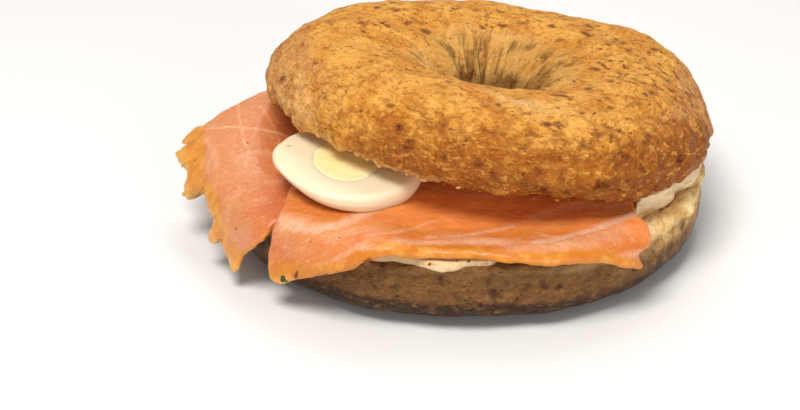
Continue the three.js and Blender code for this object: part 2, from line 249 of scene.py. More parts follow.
# ---- node graphs ---------------------------------------------------------------------
def linear(screen):
    """A colour given as it looks on screen, 0 to 255, as linear light."""
    shares = [c / 255 for c in screen]
    return (*(c / 12.92 if c <= 0.04045 else ((c + 0.055) / 1.055) ** 2.4 for c in shares), 1.0)


class Value:
    """What a node gives out. Adding, taking away and multiplying make Math nodes."""

    def __init__(self, graph, socket):
        self.graph, self.socket = graph, socket

    def __add__(self, other):
        return self.graph.math("ADD", self, other)

    def __radd__(self, other):
        return self.graph.math("ADD", other, self)

    def __sub__(self, other):
        return self.graph.math("SUBTRACT", self, other)

    def __mul__(self, other):
        return self.graph.math("MULTIPLY", self, other)

    def clamped(self):
        """The same Math node, kept between 0 and 1."""
        self.socket.node.use_clamp = True
        return self


class Graph:
    """A material's nodes, with one short call for each kind used here."""

    def __init__(self, name):
        self.material = bpy.data.materials.new(name)
        self.material.use_nodes = True
        self.tree = self.material.node_tree
        self.tree.nodes.clear()

    def node(self, kind, sockets, out, **settings):
        """A new node with its inputs filled in, and the output asked for."""
        made = self.tree.nodes.new("ShaderNode" + kind)
        for key, value in settings.items():
            setattr(made, key, value)
        for key, value in sockets.items():
            if isinstance(value, Value):
                self.tree.links.new(value.socket, made.inputs[key])
            else:
                made.inputs[key].default_value = value
        return Value(self, made.outputs[out]) if out is not None else None

    def vector(self, name):
        """A vector that the mesh gives for each point."""
        return self.node("Attribute", {}, "Vector", attribute_name=name)

    def values(self, *names):
        """Numbers that the mesh gives for each point."""
        return [self.node("Attribute", {}, "Fac", attribute_name=name) for name in names]

    def math(self, operation, a, b=0.0):
        return self.node("Math", {0: a, 1: b}, 0, operation=operation)

    def vector_math(self, operation, a, b):
        return self.node("VectorMath", {0: a, 1: b}, 0, operation=operation)

    def swing(self, span, vector, size, *details):
        """Noise as a swing of the given span about 0."""
        return (self.noise(vector, size, *details) - 0.5) * span

    def warp(self, vector, size, amount):
        """The vector pushed about by up to amount mm, so that patterns on it wander."""
        sockets = {"Vector": vector, "Scale": 1.0 / size, "Detail": 2.0}
        push = self.node("TexNoise", sockets, "Color")
        push = self.vector_math("SUBTRACT", push, (0.5, 0.5, 0.5))
        return self.vector_math("ADD", vector, self.scaled(push, (2 * amount,) * 3))

    def scaled(self, vector, factors):
        return self.vector_math("MULTIPLY", vector, factors)

    def noise(self, vector, size, detail=3.0, rough=0.55, twist=0.0):
        """Noise from 0 to 1 with features about size mm."""
        sockets = {"Vector": vector, "Scale": 1.0 / size, "Detail": detail, "Roughness": rough,
                   "Distortion": twist}
        return self.node("TexNoise", sockets, "Fac")

    def cells(self, vector, size):
        """Distance from the middle of the nearest cell, with cells about size mm wide."""
        return self.node("TexVoronoi", {"Vector": vector, "Scale": 1.0 / size}, "Distance")

    def step(self, value, low, high, out_low=0.0, out_high=1.0):
        """Smooth step from low to high."""
        sockets = {"Value": value, "From Min": low, "From Max": high, "To Min": out_low,
                   "To Max": out_high}
        return self.node("MapRange", sockets, "Result", interpolation_type="SMOOTHSTEP")

    def mix(self, factor, a, b):
        """Colour between a and b, each worked out by nodes or given as it looks on screen."""
        a, b = (c if isinstance(c, Value) else linear(c) for c in (a, b))
        return self.node("Mix", {0: factor, 6: a, 7: b}, 2, data_type="RGBA")

    def paint(self, factor, colour):
        """Lays a colour over what has been painted so far."""
        self.colour = self.mix(factor, self.colour, colour)

    def cover(self, value, low, high, colour, most=1.0):
        """Lays a colour over, up to the share most, where the value goes from low to high."""
        self.paint(self.step(value, low, high, 0.0, most), colour)

    def surface(self, rough, height=None, depth=1.0, glow=None, **more):
        """The finished material. Height is relief, depth mm high; glow is the weight of the
        light that passes under the surface and how far it reaches in mm, red, green and blue."""
        sockets = {"Base Color": self.colour, "Roughness": rough}
        if height is not None:
            relief = {"Height": height, "Distance": depth * MM, "Strength": 1.0}
            sockets["Normal"] = self.node("Bump", relief, "Normal")
        if glow is not None:
            weight, *reach = glow
            sockets["Subsurface Weight"] = weight
            sockets["Subsurface Radius"] = reach
            sockets["Subsurface Scale"] = MM
        for key, value in more.items():
            sockets[key.replace("_", " ")] = value
        shader = self.node("BsdfPrincipled", sockets, 0)
        self.node("OutputMaterial", {"Surface": shader}, None)
        return self.material


# ---- bread ---------------------------------------------------------------------------
def crust(name, colours, roughness):
    """Baked wholemeal crust. The mesh gives: place, mm in the half's own frame; flow, the same
    with lengths round the ring pressed together, so that marks stretch round it; down, lengths
    along the section pressed together; shade, how brown and how deep the colour, partly the
    crust's own baked colour and partly painted shade low on its sides; tan, how pale and
    pinkish; hollow, how far into the hole, with painted shade in its clefts and deep down;
    crumb, the cut or torn inside; dent, how deep between its lumps, where shade is painted;
    spots, distance from a bran spot over its size; wrinkle, how wrinkled; lumpy, how crinkled,
    with painted shade in its creases; light, how pale; crack and crack_end, the signed distance
    from a fine crack and how open it is."""
    g = Graph(name)
    place, flow, down = map(g.vector, ("place", "flow", "down"))
    shade, pinkish, hollow, crumb, dent = g.values("shade", "tan", "hollow", "crumb", "dent")
    spots, wrinkle, lumpy, lit = g.values("spots", "wrinkle", "lumpy", "light")
    across_crack, opened = g.values("crack", "crack_end")
    golden, honey, tan, brown, fleck, blotch, pale, deep, inside, cleft, light = colours
    # broad clouds, then browner and paler mottling; the brown and the deep colour follow shade,
    # partly baked colour and partly painted shade
    g.colour = g.mix(g.step(g.noise(place, 9, 3, 0.6, 0.5), 0.38, 0.62), golden, honey)
    side = pinkish + g.swing(0.8, flow, 6, 4)
    g.cover(side, 0.25, 0.85, tan)
    clouds = shade * 0.92 + g.swing(4.6, place, 6.0, 6, 0.68, 0.8)
    g.cover(clouds, 0.10, 1.15, brown, 0.92)
    # painted shade with baked colour: the deep colour low on the sides, nearly black towards the
    # floor on the lower half
    baked_and_shaded = shade + g.swing(3.4, place, 4.2, 5, 0.66, 0.5)
    g.cover(baked_and_shaded, 0.80, 1.70, deep, 0.85)
    lit = g.step(lit + g.swing(1.4, flow, 3.5, 4, 0.6, 0.4), 0.15, 1.05, 0.0, 0.90)
    g.paint(lit, light)
    strong = g.step(lit, 0, 1, 1.0, 0.35)
    fine = g.noise(flow, 1.5, 5, 0.68, 0.3)
    g.paint(g.step(fine, 0.52, 0.64, 0.0, 0.74) * strong, brown)
    g.cover(fine, 0.47, 0.35, pale, 0.65)
    dust = g.noise(place, 0.6, 3, 0.65)
    g.paint(g.step(dust, 0.53, 0.66, 0.0, 0.48) * strong, brown)
    g.cover(dust, 0.45, 0.34, pale, 0.32)
    # crinkled skin: swollen cells, with painted shade in the creases between them
    swollen = g.cells(g.warp(place, 2.4, 1.5), 2.6)
    small = g.cells(g.warp(flow, 1.6, 0.9), 1.3)
    g.paint(g.step(swollen, 0.40, 0.78) * lumpy * 0.55, deep)
    # folds of the hole: olive, with painted shade in the clefts between them and deep down in the
    # hole
    g.paint(hollow * g.step(g.noise(down, 3.2, 3), 0.25, 0.75, 0.55, 1.0), inside)
    cleft_shade = g.step(g.noise(down, 2.6, 3, 0.6), 0.52, 0.36) + g.step(hollow, 1.1, 2.2)
    g.paint((g.step(hollow, 0, 1) * cleft_shade).clamped() * 0.70, cleft)
    # thin raised ridges in the skin, painted pale as highlights, and a few fine cracks
    ridge = g.math("ABSOLUTE", g.swing(1.0, flow, 2.6, 2, 0.5, 0.8))
    ridge = g.step(ridge, 0.05, 0.0) * g.step(g.noise(place, 5, 2), 0.50, 0.64)
    g.paint(ridge * 0.28, pale)
    frayed = across_crack + g.swing(0.8, place, 1.0, 3)
    crack = g.step(g.math("ABSOLUTE", frayed), 0.16, 0.03) * opened
    g.paint(crack * 0.70, fleck)
    # bran: larger spots placed by the mesh, and short dark flecks
    frayed = spots + g.swing(3.2, place, 1.15, 5, 0.72, 0.5)
    plain = g.step(g.noise(place, 5, 2), 0.38, 0.60, 0.40, 1.0)
    plain = plain * g.step(hollow, 0.2, 1.2, 1.0, 0.35)
    spot = g.step(frayed, 1.05, 0.78) * plain
    core = g.step(spots + g.swing(2.8, place, 0.9, 4, 0.65), 0.58, 0.25) * plain
    g.paint(spot * 0.74, blotch)
    g.paint(core * 0.74, fleck)
    grain = g.cells(flow, 1.5) + g.swing(0.5, flow, 0.6, 3)
    flecks = g.step(grain, 0.19, 0.10) * g.step(g.noise(place, 6, 2), 0.40, 0.60)
    g.paint(flecks * strong * 0.74, fleck)
    # cut and torn crumb
    open_crumb = g.scaled(place, (1.0, 0.55, 1.0))
    soft = g.mix(g.step(g.noise(open_crumb, 2.4, 4), 0.35, 0.65), (246, 202, 130), (254, 228, 170))
    gold = g.step(g.noise(open_crumb, 3.6, 5, 0.62), 0.50, 0.66, 0, 0.60)
    soft = g.mix(gold, soft, (230, 170, 86))
    # painted shade: dark pits in the pores of the crumb
    pits = g.cells(open_crumb, 1.9) + g.swing(0.5, open_crumb, 0.8, 3)
    pits = g.step(pits, 0.30, 0.14) * g.step(g.noise(place, 5, 2), 0.44, 0.58)
    soft = g.mix(pits * 0.35, soft, (160, 104, 50))
    # painted shade down between the lumps of the torn crumb
    soft = g.mix(dent, soft, (190, 128, 62))
    g.paint(crumb, soft)
    # relief in mm: skin, wrinkles, ridges, pits under the bran, pores in the crumb
    height = g.noise(flow, 1.0, 5, 0.62) * 0.85 + g.noise(place, 3.4, 5, 0.58, 0.5) * 2.0
    height -= (swollen * 0.70 + small * 0.36) * (lumpy + 0.15)
    height += g.noise(down, 1.7, 4, 0.6) * wrinkle * 0.75
    height += ridge * 0.10
    height -= spot * 0.10 + flecks * 0.10 + crack * 0.15
    height *= g.step(crumb, 0, 1, 1.0, 0.25)
    pores = g.step(g.cells(g.warp(open_crumb, 2.2, 1.2), 2.4), 0.10, 0.60)
    height += pores * (crumb * 0.45)
    rough = (roughness + g.swing(0.25, place, 1.2, 3) + crumb * 0.40).clamped()
    return g.surface(rough, height, glow=(0.06, 0.9, 0.45, 0.2), Specular_IOR_Level=0.22)


# golden, honey, tan, brown, fleck, blotch, pale, deep (baked colour and painted shade), inside of
# the hole, cleft (painted shade), light
TOP_COLOURS = ((216, 142, 44), (240, 174, 76), (212, 146, 78), (172, 94, 14), (92, 42, 12),
               (132, 66, 18), (242, 180, 82), (144, 74, 12), (226, 174, 94), (88, 50, 16),
               (246, 202, 134))
BOTTOM_COLOURS = ((118, 79, 37), (129, 89, 42), (128, 85, 41), (92, 54, 24), (56, 28, 12),
                  (72, 32, 14), (158, 110, 58), (32, 22, 14), (124, 88, 44), (72, 44, 20),
                  (234, 182, 104))


def full_circle(rows):
    """Angles all the way round, one in each row."""
    turns = int(rows * FINE)
    return np.arange(turns)[:, None] / turns * 2 * np.pi


def on_circle(th, radius, third):
    """Points round the axis, also for noise that runs round the ring without a seam."""
    return np.stack([radius * np.cos(th), radius * np.sin(th), third + 0 * th], -1)


def sweep(section, k):
    """A closed section swept round a ring with the outline k: the points, then the angle, the
    distance from the axis and the height on an even ring, and the normals."""
    th = full_circle(BREAD_TURNS) + 0 * section[None, :, 0]
    r, z = section[None, :, 0] + 0 * th, section[None, :, 1] + 0 * th
    p = on_circle(th, r * oval(th, k), z)
    return p, th, r, z, grid_normals(p, True)


def angle_from(th, degrees):
    """Signed angle from a direction, in degrees."""
    return (np.degrees(th) - degrees + 540) % 360 - 180


def around(th, degrees, width):
    """1 in a direction, falling to nearly 0 a few widths round from it."""
    return bump(angle_from(th, degrees), width)


def scatter_spots(section, count, likely, longest, slant):
    """Bran spots on a swept crust, thicker where likely(angle, r, z) is high: (angle, stop on
    the section, half length, half width, slant)."""
    spots = []
    while len(spots) < count:
        th, stop = rng.uniform(0, 2 * np.pi), rng.integers(len(section))
        if rng.random() < likely(th, *section[stop]):
            long = mix(0.55, longest, rng.random() ** 2.4)
            wide = long * rng.uniform(0.5, 0.9)
            spots.append((th, stop, long, wide, rng.normal(0, slant)))
    return spots


def spot_field(th, along, r, spots):
    """Distance from the nearest spot over its size, at each point of a swept grid."""
    turns = len(th)
    field = np.full(th.shape, 3.0)
    for angle, stop, long, wide, slant in spots:
        reach = int(3 * long / max(r[0, stop], 8) / (2 * np.pi) * turns) + 2
        rows = (int(angle / (2 * np.pi) * turns) + np.arange(-reach, reach + 1)) % turns
        cols = np.flatnonzero(np.abs(along - along[stop]) < 3 * long)
        window = np.ix_(rows, cols)
        x = np.radians(angle_from(th[window], math.degrees(angle))) * r[window]
        y = (along[cols] - along[stop])[None, :]
        a = (math.cos(slant) * x + math.sin(slant) * y) / long
        b = (math.cos(slant) * y - math.sin(slant) * x) / wide
        field[window] = np.minimum(field[window], np.hypot(a, b))
    return field


# places on the crust: degrees round the ring, and degrees up round the section
SECTION_MIDDLE = (36, 4)  # (r, z) of the point that the second angle turns about
UPPER_CRACKS = [  # (round, up, how the crack leans, half its length)
    (242, 38, -0.27, 6.0), (244.5, 61, 1.29, 2.6), (252, 8, 1.94, 2.9), (302.5, 27, -0.7, 1.7),
    (309, 12, 1.2, 4.0), (196, 15, 1.5, 3.0), (28, 35, 1.3, 4.0), (92, 40, 0.4, 5.0)]
UPPER_MARKS = [  # (round, up, half length, half width)
    (266, 69, 1.3, 0.9), (292, 98, 3.2, 1.1), (234, 36, 1.4, 1.0), (240, 21, 1.4, 1.2),
    (274, 27, 1.8, 1.3), (263, 10, 1.8, 1.4), (267, 4, 1.8, 1.6), (275, 2, 2.2, 1.7),
    (285, 49, 1.8, 1.3), (289, 28, 1.5, 1.1), (300, 19, 1.7, 1.4), (279, 31, 1.5, 1.2),
    (263, 34, 1.5, 0.9), (294, 3, 3.6, 2.0), (244, 10, 1.9, 1.3)]


def up_angle(r, z):
    """Degrees up round a half's section: 0 at its widest, 90 at its crest, more in the hole."""
    middle_r, middle_z = SECTION_MIDDLE
    return np.degrees(np.arctan2(z - middle_z, r - middle_r))


def stop_at(section, up):
    return int(np.argmin(np.abs(up_angle(section[:, 0], section[:, 1]) - up)))


def crack_field(th, along, r, cracks):
    """Signed distance from the nearest fine crack, and how open it is there."""
    signed, opened = np.full(th.shape, 9.0), np.zeros(th.shape)
    for angle, stop, lean, half in cracks:
        x = np.radians(angle_from(th, angle)) * r
        y = along[None, :] - stop
        a = math.cos(lean) * x + math.sin(lean) * y
        b = math.cos(lean) * y - math.sin(lean) * x + 0.25 * np.sin(a * 1.1 + angle)
        here = ease((half - np.abs(a)) / 1.2) * (np.abs(b) < 3)
        signed, opened = np.where(here > opened, b, signed), np.maximum(opened, here)
    return signed, opened


def upper_section():
    R, H = UPPER_R, UPPER_H
    corners = [[HOLE_R, 0], [HOLE_MOUTH_R, 0], [R * 0.87, 0], [R * UPPER_RIM, 0], [R, H * 0.22],
               [R * 0.975, H * 0.5], [R * 0.89, H * 0.78], [R * 0.75, H * 0.97], [34, H],
               [25, H * 0.9], [18, H * 0.66], [13, H * 0.33]]

    def step(r, z):
        flat = z < 0.3 and 13 < r < R * 0.88
        return (FLAT_STEP if flat else BREAD_STEP) / FINE

    run, along = smooth_closed(corners, step)
    run[:, 1] = np.maximum(run[:, 1], 0)
    return run, along


def upper_spots(th, r, z):
    """How likely a bran spot is on the upper half."""
    crust_only = ease((z - 0.8) / 1.0) * ease((r - 23) / 6)
    likely = 0.2 + 0.55 * around(th, 290, 48) * ease((50 - r) / -14) + 0.55 * around(th, -5, 38)
    likely += 0.18 * around(th, 150, 42) + 0.5 * around(th, 78, 50) * ease((54 - r) / 8)
    flank = 1 - 0.8 * around(th, 202, 32) * ease((r - 40) / 8)
    return crust_only * flank * min(1.0, likely)


def add_folds(h, th, r, z):
    """Adds the folds that run down into the hole, and long creases on its left and on the left
    flank, to the relief h, and returns where the first and the last of these are."""
    inside = ease((29 - r) / 10) * ease((z - 1) / 4)
    lane = on_circle(th + 0.012 * (r - 20), 18, z * 0.30)
    folds = 1 - 1.8 * np.abs(noise(lane, 6.5, 11)) - 2.0 * np.abs(noise(lane, 3.2, 12))
    near_side = around(th, 268, 50)
    h += inside * (1.7 * folds * (1 - 0.9 * near_side) + 1.5 * around(th, -8, 34))
    left = around(th, 168, 30) * ease((r - 19) / 7) * ease((48 - r) / 10) * ease(z / 9)
    lane = on_circle(th - 0.010 * (r - 30), 34, r * 0.10)
    h -= left * 0.75 * np.clip(1 - 3.2 * np.abs(noise(lane, 4.2, 21)), 0, 1)
    flank = around(th, 200, 34) * ease((r - 40) / 8) * ease((17 - z) / 7)
    lane = on_circle(th + 0.012 * z, UPPER_R, z * 0.16)
    h -= flank * 0.95 * np.clip(1 - 2.6 * np.abs(noise(lane, 3.2, 22)), 0, 1)
    return inside, flank


def add_wrinkles(h, p, th, r, z, along):
    """Adds wrinkles down to the rim, and coarser ones at the front, to the relief h. Returns
    where the first are."""
    low = ease((9.5 - z) / 6) * ease((r - UPPER_R * 0.8) / 6)
    h += low * 0.45 * fbm(on_circle(th, UPPER_R, z * 0.3), 3.6, 3, 31)
    rough_front = ease((18 - z) / 5) * ease((r - 42) / 8) * (0.35 + 0.65 * around(th, 290, 65))
    lane = on_circle(th, UPPER_R * 0.7, along)
    h += rough_front * 0.72 * (0.5 - 1.9 * np.abs(fbm(lane, 5.5, 3, 32)))
    h += rough_front * 0.30 * fbm(p, 2.8, 2, 33)
    return low


def fray_rim(p, th, r, z):
    """Makes the cut rim ragged, and lifts it a little at the front."""
    rim = bump(np.hypot(r - UPPER_R * UPPER_RIM, (z - 0.2) * 1.2), 2.4)
    lane = on_circle(th, UPPER_R, 0)
    drop = 0.40 * fbm(lane, 14, 2, 51) + 0.42 * fbm(lane, 3.4, 3, 52) + 0.35
    p[..., 2] += rim * (drop + 0.30 * fbm(lane, 1.3, 2, 54))
    raised = around(th, 274, 17) * bump(np.hypot(r - UPPER_R * UPPER_RIM, z - 0.2), 5.0)
    p[..., 2] += 1.1 * raised
    p[..., :2] *= (1 - rim * 0.012 * fbm(lane, 5, 2, 53))[..., None]


def upper_colours(th, r, z):
    """How brown, how pale and how pinkish the upper half is, and how far into the hole. The brown
    is partly baked colour and partly painted shade, lower on the sides and at the front.
    """
    turned = np.degrees(th)
    # browner at the front and low on the sides: partly baked colour, partly painted shade where the
    # sides turn away from the light
    baked = ease((turned - 214) / 32) * ease((352 - turned) / 36)
    shade = ease((17.5 - z) / 8) * mix(0.25, 1.0, baked) + 0.25 * baked * ease((z - 15) / 2)
    shade += 0.55 * baked * ease((9 - z) / 7) + 0.16 * baked * bump(z - 12, 4)
    shade += 1.50 * around(th, -37, 18) * ease((14 - z) / 8)
    shade += 0.20 * around(th, 246, 16) * ease((13 - z) / 6)
    pale = 0.62 * around(th, 276, 20) * bump(up_angle(r, z) - 94 + 1.1 * angle_from(th, 262), 20)
    pale += 0.75 * around(th, 236, 26) * bump(z - 0.8, 1.5) * ease((r - 48) / 4)
    pale += 0.55 * around(th, 200, 26) * ease((r - 44) / 6) * bump(z - 7, 7)
    pale += 0.5 * around(th, 90, 50) * ease((r - 18) / 4) * ease((27 - r) / 3) * (z > 8)
    pale += 0.30 * around(th, -6, 24) * ease((r - 44) / 6) * ease((z - 5) / 5)
    pinkish = (around(th, 182, 34) + 1.10 * around(th, -14, 34)) * ease((r - 44) / 8)
    hollow = (ease((26 - r) / 8) + ease((10.5 - z) / 7)) * ease((28 - r) / 5)
    return shade * ease((r - 30) / 10), pale, pinkish, hollow


def upper_bread():
    section, along = upper_section()
    p, th, r, z, n = sweep(section, UPPER_OVAL)
    cut = ease((1.2 - z) / 1.2) * ease((UPPER_R * 0.93 - r) / 2) * ease((r - 12) / 2)
    # relief in mm along the normals
    h = 0.6 * fbm(p, 26, 2, 1) + 0.42 * fbm(p, 10, 2, 2) + 0.30 * fbm(p, 4, 3, 3)
    bulge = 0.7 * around(th, 135, 32) + 1.9 * around(th, 33, 24)
    h += ease((r - 40) / 10) * (bulge - 0.6 * around(th, -2, 12))
    inside, flank = add_folds(h, th, r, z)
    low = add_wrinkles(h, p, th, r, z, along)
    marks = scatter_spots(section, UPPER_SPOT_COUNT, upper_spots, 1.8, 0.4)
    marks += [(math.radians(a), stop_at(section, b), long, wide, rng.normal(0, 0.4))
              for a, b, long, wide in UPPER_MARKS]
    spots = spot_field(th, along, r, marks)
    h -= 0.22 * ease((1.5 - spots) / 1.2)
    cracks = [(a, along[stop_at(section, b)], lean, half) for a, b, lean, half in UPPER_CRACKS]
    crack, opened = crack_field(th, along, r, cracks)
    h -= 0.08 * opened * bump(crack, 0.8)
    h *= 1 - cut
    h += cut * 0.5 * fbm(p, 4, 3, 41)
    p = p + n * h[..., None]
    fray_rim(p, th, r, z)
    shade, pale, pinkish, hollow = upper_colours(th, r, z)
    down_r = mix(20, r, ease((r - 24) / 12))
    wrinkle = 0.15 + low + 0.5 * inside + 0.6 * pinkish + 0.7 * flank
    attributes = {
        "place": p, "flow": on_circle(th, UPPER_R * 0.45, along),
        "down": on_circle(th + 0.014 * np.minimum(r - 24, 0), down_r, along * 0.25),
        "shade": shade, "tan": pinkish, "hollow": hollow, "crumb": cut, "dent": 0,
        "spots": spots, "wrinkle": np.clip(wrinkle, 0, 1), "light": pale,
        "lumpy": ease((19 - z) / 5) * ease((r - 36) / 8) * mix(0.12, 1.0, around(th, 292, 74)),
        "crack": crack, "crack_end": opened,
    }
    placed = p @ UPPER_TURN.T + np.array(UPPER_AT)
    return make_mesh("upper_bread", placed, ring_quads(*th.shape), attributes,
                     crust("crust_upper", TOP_COLOURS, 0.50), "bagel_top")


# how far out the cheese lies: (degrees round, share of the lower half's cut rim)
CHEESE_REACH = [(-70, 0.93), (-42, 0.915), (-35, 0.925), (-28, 0.945), (-20, 0.972), (-15, 0.995),
                (-8, 1.025), (2, 1.03), (10, 1.01), (24, 0.97), (45, 0.94), (70, 0.93)]


def lower_section():
    R, H, w = LOWER_R, LOWER_H, LOWER_WIDEST_Z
    corners = [[HOLE_R, 10], [13, 4], [20, 0.8], [HOLE_MOUTH_R, 0], [LOWER_FLAT_R, 0], [51.2, 0.9],
               [R * 0.965, w * 0.47], [R, w], [R * 0.99, (H + w) / 2 + 1], [R * RIM_SHARE, H],
               [HOLE_MOUTH_R, H], [12, H]]

    def step(r, z):
        flat = (z < 0.3 and 22 < r < 46) or (z > H - 0.3 and 13 < r < R * 0.86)
        return (FLAT_STEP if flat else SHOULDER_STEP if z > 10 else BREAD_STEP) / FINE

    run, along = smooth_closed(corners, step)
    run[:, 1] = np.clip(run[:, 1], 0, H)
    return run, along


def cheese_reach(th):
    """Share of the lower half's cut rim that the cheese covers, wider where it is pressed out."""
    return through(angle_from(th, 0), CHEESE_REACH)


def lower_spots(th, r, z):
    """How likely a bran spot is on the lower half."""
    side = ease((LOWER_H - 1.5 - z) / 2) * ease((r - 44) / 4)
    return side * (0.4 + 0.6 * ease(z / 7)) * (1 - 0.8 * around(th, -18, 32))


def lower_bread():
    section, along = lower_section()
    p, th, r, z, n = sweep(section, LOWER_OVAL)
    cut = ease((z - LOWER_H + 0.8) / 0.8) * ease((r - 12) / 2)
    base = ease((2.0 - z) / 2.0)
    marks = scatter_spots(section, LOWER_SPOT_COUNT, lower_spots, 2.7, 0.9)
    spots = spot_field(th, along, r, marks)
    h = 0.6 * fbm(p, 28, 2, 61) + 0.30 * fbm(p, 9, 2, 62) + 0.12 * fbm(p, 3.6, 2, 63)
    h -= 0.12 * ease((1.5 - spots) / 1.2)
    h *= (1 - cut) * (1 - base)
    # torn, lumpy shoulder on the right, with a groove under the rim
    torn = around(th, -20, 32) * ease((z - 10.5) / 5) * ease((r - LOWER_R * 0.80) / 3)
    q = p * (1, 0.55, 1)
    knobs = np.abs(noise(q, 3.8, 72))
    uneven = 1.2 * fbm(q, 6.0, 2, 71) + 1.0 * knobs + 0.22 * fbm(q, 2.2, 1, 74) + 0.20
    dent = ease((0.30 - knobs - 0.25 * noise(q, 1.6, 76)) / 0.30)
    wander = 0.012 * noise(on_circle(th, LOWER_R, 0), 4, 73)
    groove = bump(r - LOWER_R * RIM_SHARE * (cheese_reach(th) + 0.012 + wander), 0.40)
    h += torn * (uneven + (0.60 - 1.1 * groove) * cut)
    h += cut * (1 - torn) * 0.35 * fbm(p, 4, 3, 64)
    p = p + n * h[..., None]
    p[..., 2] = np.maximum(p[..., 2], 0)
    # crumb: the cut face inside its skin, and the torn shoulder up to where the crust is whole
    skin = 1 - ease((lower_rim(th) - 0.4 - r * oval(th, LOWER_OVAL)) / 1.2)
    crumb = cut * (1 - skin * (1 - around(th, -20, 30)))
    crumb += 1.2 * torn * ease((z - 11.0 + 3.6 * fbm(q, 4.0, 3, 75)) / 4)
    whole = ease(angle_from(th, -12) / 12) * ease((60 - angle_from(th, 0)) / 20)
    crumb = np.clip(crumb, 0, 1) * (1 - 0.85 * whole * ease((r - LOWER_R * 0.90) / 3))
    # painted shade: the crust darkens towards the floor, most at the front left
    shade = 3.2 + 3.4 * around(th, 236, 40) - 0.2 * around(th, -16, 34)
    attributes = {
        "place": p, "flow": on_circle(th, LOWER_R * 0.55, along),
        "down": on_circle(th, r, along * 0.5), "shade": shade * ease((10.0 - z) / 8), "tan": 0.5,
        "hollow": ease((20 - r) / 6) * (1 - cut), "crumb": crumb, "dent": 0.36 * torn * dent,
        "spots": spots, "wrinkle": 0.12, "lumpy": 0.12,
        "light": around(th, -14, 36) * ease((z - 6.0) / 8), "crack": 9, "crack_end": 0,
    }
    return make_mesh("lower_bread", p, ring_quads(*th.shape), attributes,
                     crust("crust_lower", BOTTOM_COLOURS, 0.46), "bagel_bottom")


# ---- cream cheese --------------------------------------------------------------------
def cheese_top(x, y):
    """Upper face of the cheese: a thin spread, and on the right it fills the room."""
    roof = upper_floor(x, y)
    spread = np.minimum(LOWER_H + GAP + CHEESE_T, roof - CHEESE_HEADROOM)
    fill = np.minimum(roof - GAP, LOWER_H + CHEESE_FILL_MOST)
    return mix(spread, fill, ease((x - CHEESE_FILL_X) / CHEESE_FILL_WIDE))


def cheese_material():
    """The mesh gives place, and pale and torn, which are shares of two paler colours: pale is
    painted light on the back of the cheese, which lies in shade; torn is paler torn cheese on the
    right, partly painted light where the upper half shades it.
    """
    g = Graph("cream_cheese_look")
    place = g.vector("place")
    pale, torn = g.values("pale", "torn")
    g.colour = g.mix(g.noise(place, 3.5, 3), (236, 206, 162), (216, 178, 128))
    # painted light on the back of the cheese, which lies in shade
    g.paint(pale, (255, 236, 200))
    g.cover(g.noise(place, 1.7, 4), 0.52, 0.68, (198, 152, 102), 0.6)
    # paler torn cheese on the right, partly painted light where the upper half shades it
    g.paint(torn, (255, 226, 180))
    height = g.noise(place, 1.6, 4) + g.noise(place, 0.5, 2) * 0.4
    return g.surface(0.42, height, 0.5, glow=(0.35, 1.6, 1.1, 0.6))


def cream_cheese():
    turns, across = CHEESE_GRID
    th = full_circle(turns)
    lane = on_circle(th, LOWER_R, 0)
    front = ease((19 - np.abs(angle_from(th, 258))) / 5)
    side = ease((62 - np.abs(angle_from(th, -12))) / 20)
    out = lower_rim(th) * (cheese_reach(th) + 0.085 * front + 0.018 * fbm(lane, 9, 2, 81))
    inner = CHEESE_IN_R * oval(th, LOWER_OVAL)
    # t runs round the section: a flat base, a bulging outer wall and a spread top
    t = np.linspace(0, 1, int(across * FINE), endpoint=False)[None, :]
    base = LOWER_H + GAP * 0.2
    share = np.interp(t, [0, 0.2, 0.3, 0.55, 1], [0, 0.93, 1, 1, 0])
    r = mix(inner, out, share)
    top = cheese_top(r * np.cos(th), r * np.sin(th))
    lift = np.interp(t, [0, 0.28, 0.36, 0.48, 0.56, 0.97, 1], [0, 0, 0.12, 0.8, 1, 1, 0])
    r = r + 0.9 * bump(t - 0.42, 0.09) * (0.6 + 0.7 * (1 - side) * fbm(lane, 8, 2, 82))
    sag = 1.4 * front * bump(t - 0.40, 0.09) * (0.9 + 0.65 * fbm(lane, 6, 3, 83))
    z = mix(base, top, lift) - sag
    p = on_circle(th, r, z)
    n = grid_normals(p, True)
    smear = on_circle(th + 0 * z, LOWER_R * 0.5, z)
    curds = 0.75 * fbm(smear, 4.2, 2, 85) + 0.42 * fbm(smear, 1.8, 3, 86)
    curds -= 0.60 * np.abs(noise(smear, 2.6, 87))
    lumpy = 0.22 * fbm(p, 4, 3, 84) + side * curds
    p = p + n * (lumpy * ease(lift * 3))[..., None]
    # pale: painted light on the back; torn: paler torn cheese on the right, partly painted light
    # under the upper half
    attributes = {"place": p, "pale": 0.8 * around(th, 105, 80) + 0 * t,
                  "torn": 0.9 * side * ease(0.5 + noise(smear, 4.4, 89))}
    return make_mesh("cheese", p, ring_quads(*z.shape), attributes, cheese_material(),
                     "cream_cheese")


# ---- salmon --------------------------------------------------------------------------
def drape(X, Y, z, angle, bend, start):
    """A flat slice laid on the bread: from start mm inside the rim it bends down over bend mm
    and then hangs at the angle."""
    th, rho = np.arctan2(Y, X), np.hypot(X, Y)
    edge = lower_rim(th) - start
    over = np.maximum(rho - edge, 0)
    r, h, steps = np.minimum(rho, edge), z + 0 * rho, 24
    for k in range(steps):
        dip = angle * ease(over * (k + 0.5) / steps / bend)
        r = r + np.cos(dip) * over / steps
        h = h - np.sin(dip) * over / steps
    return on_circle(th, r, h)


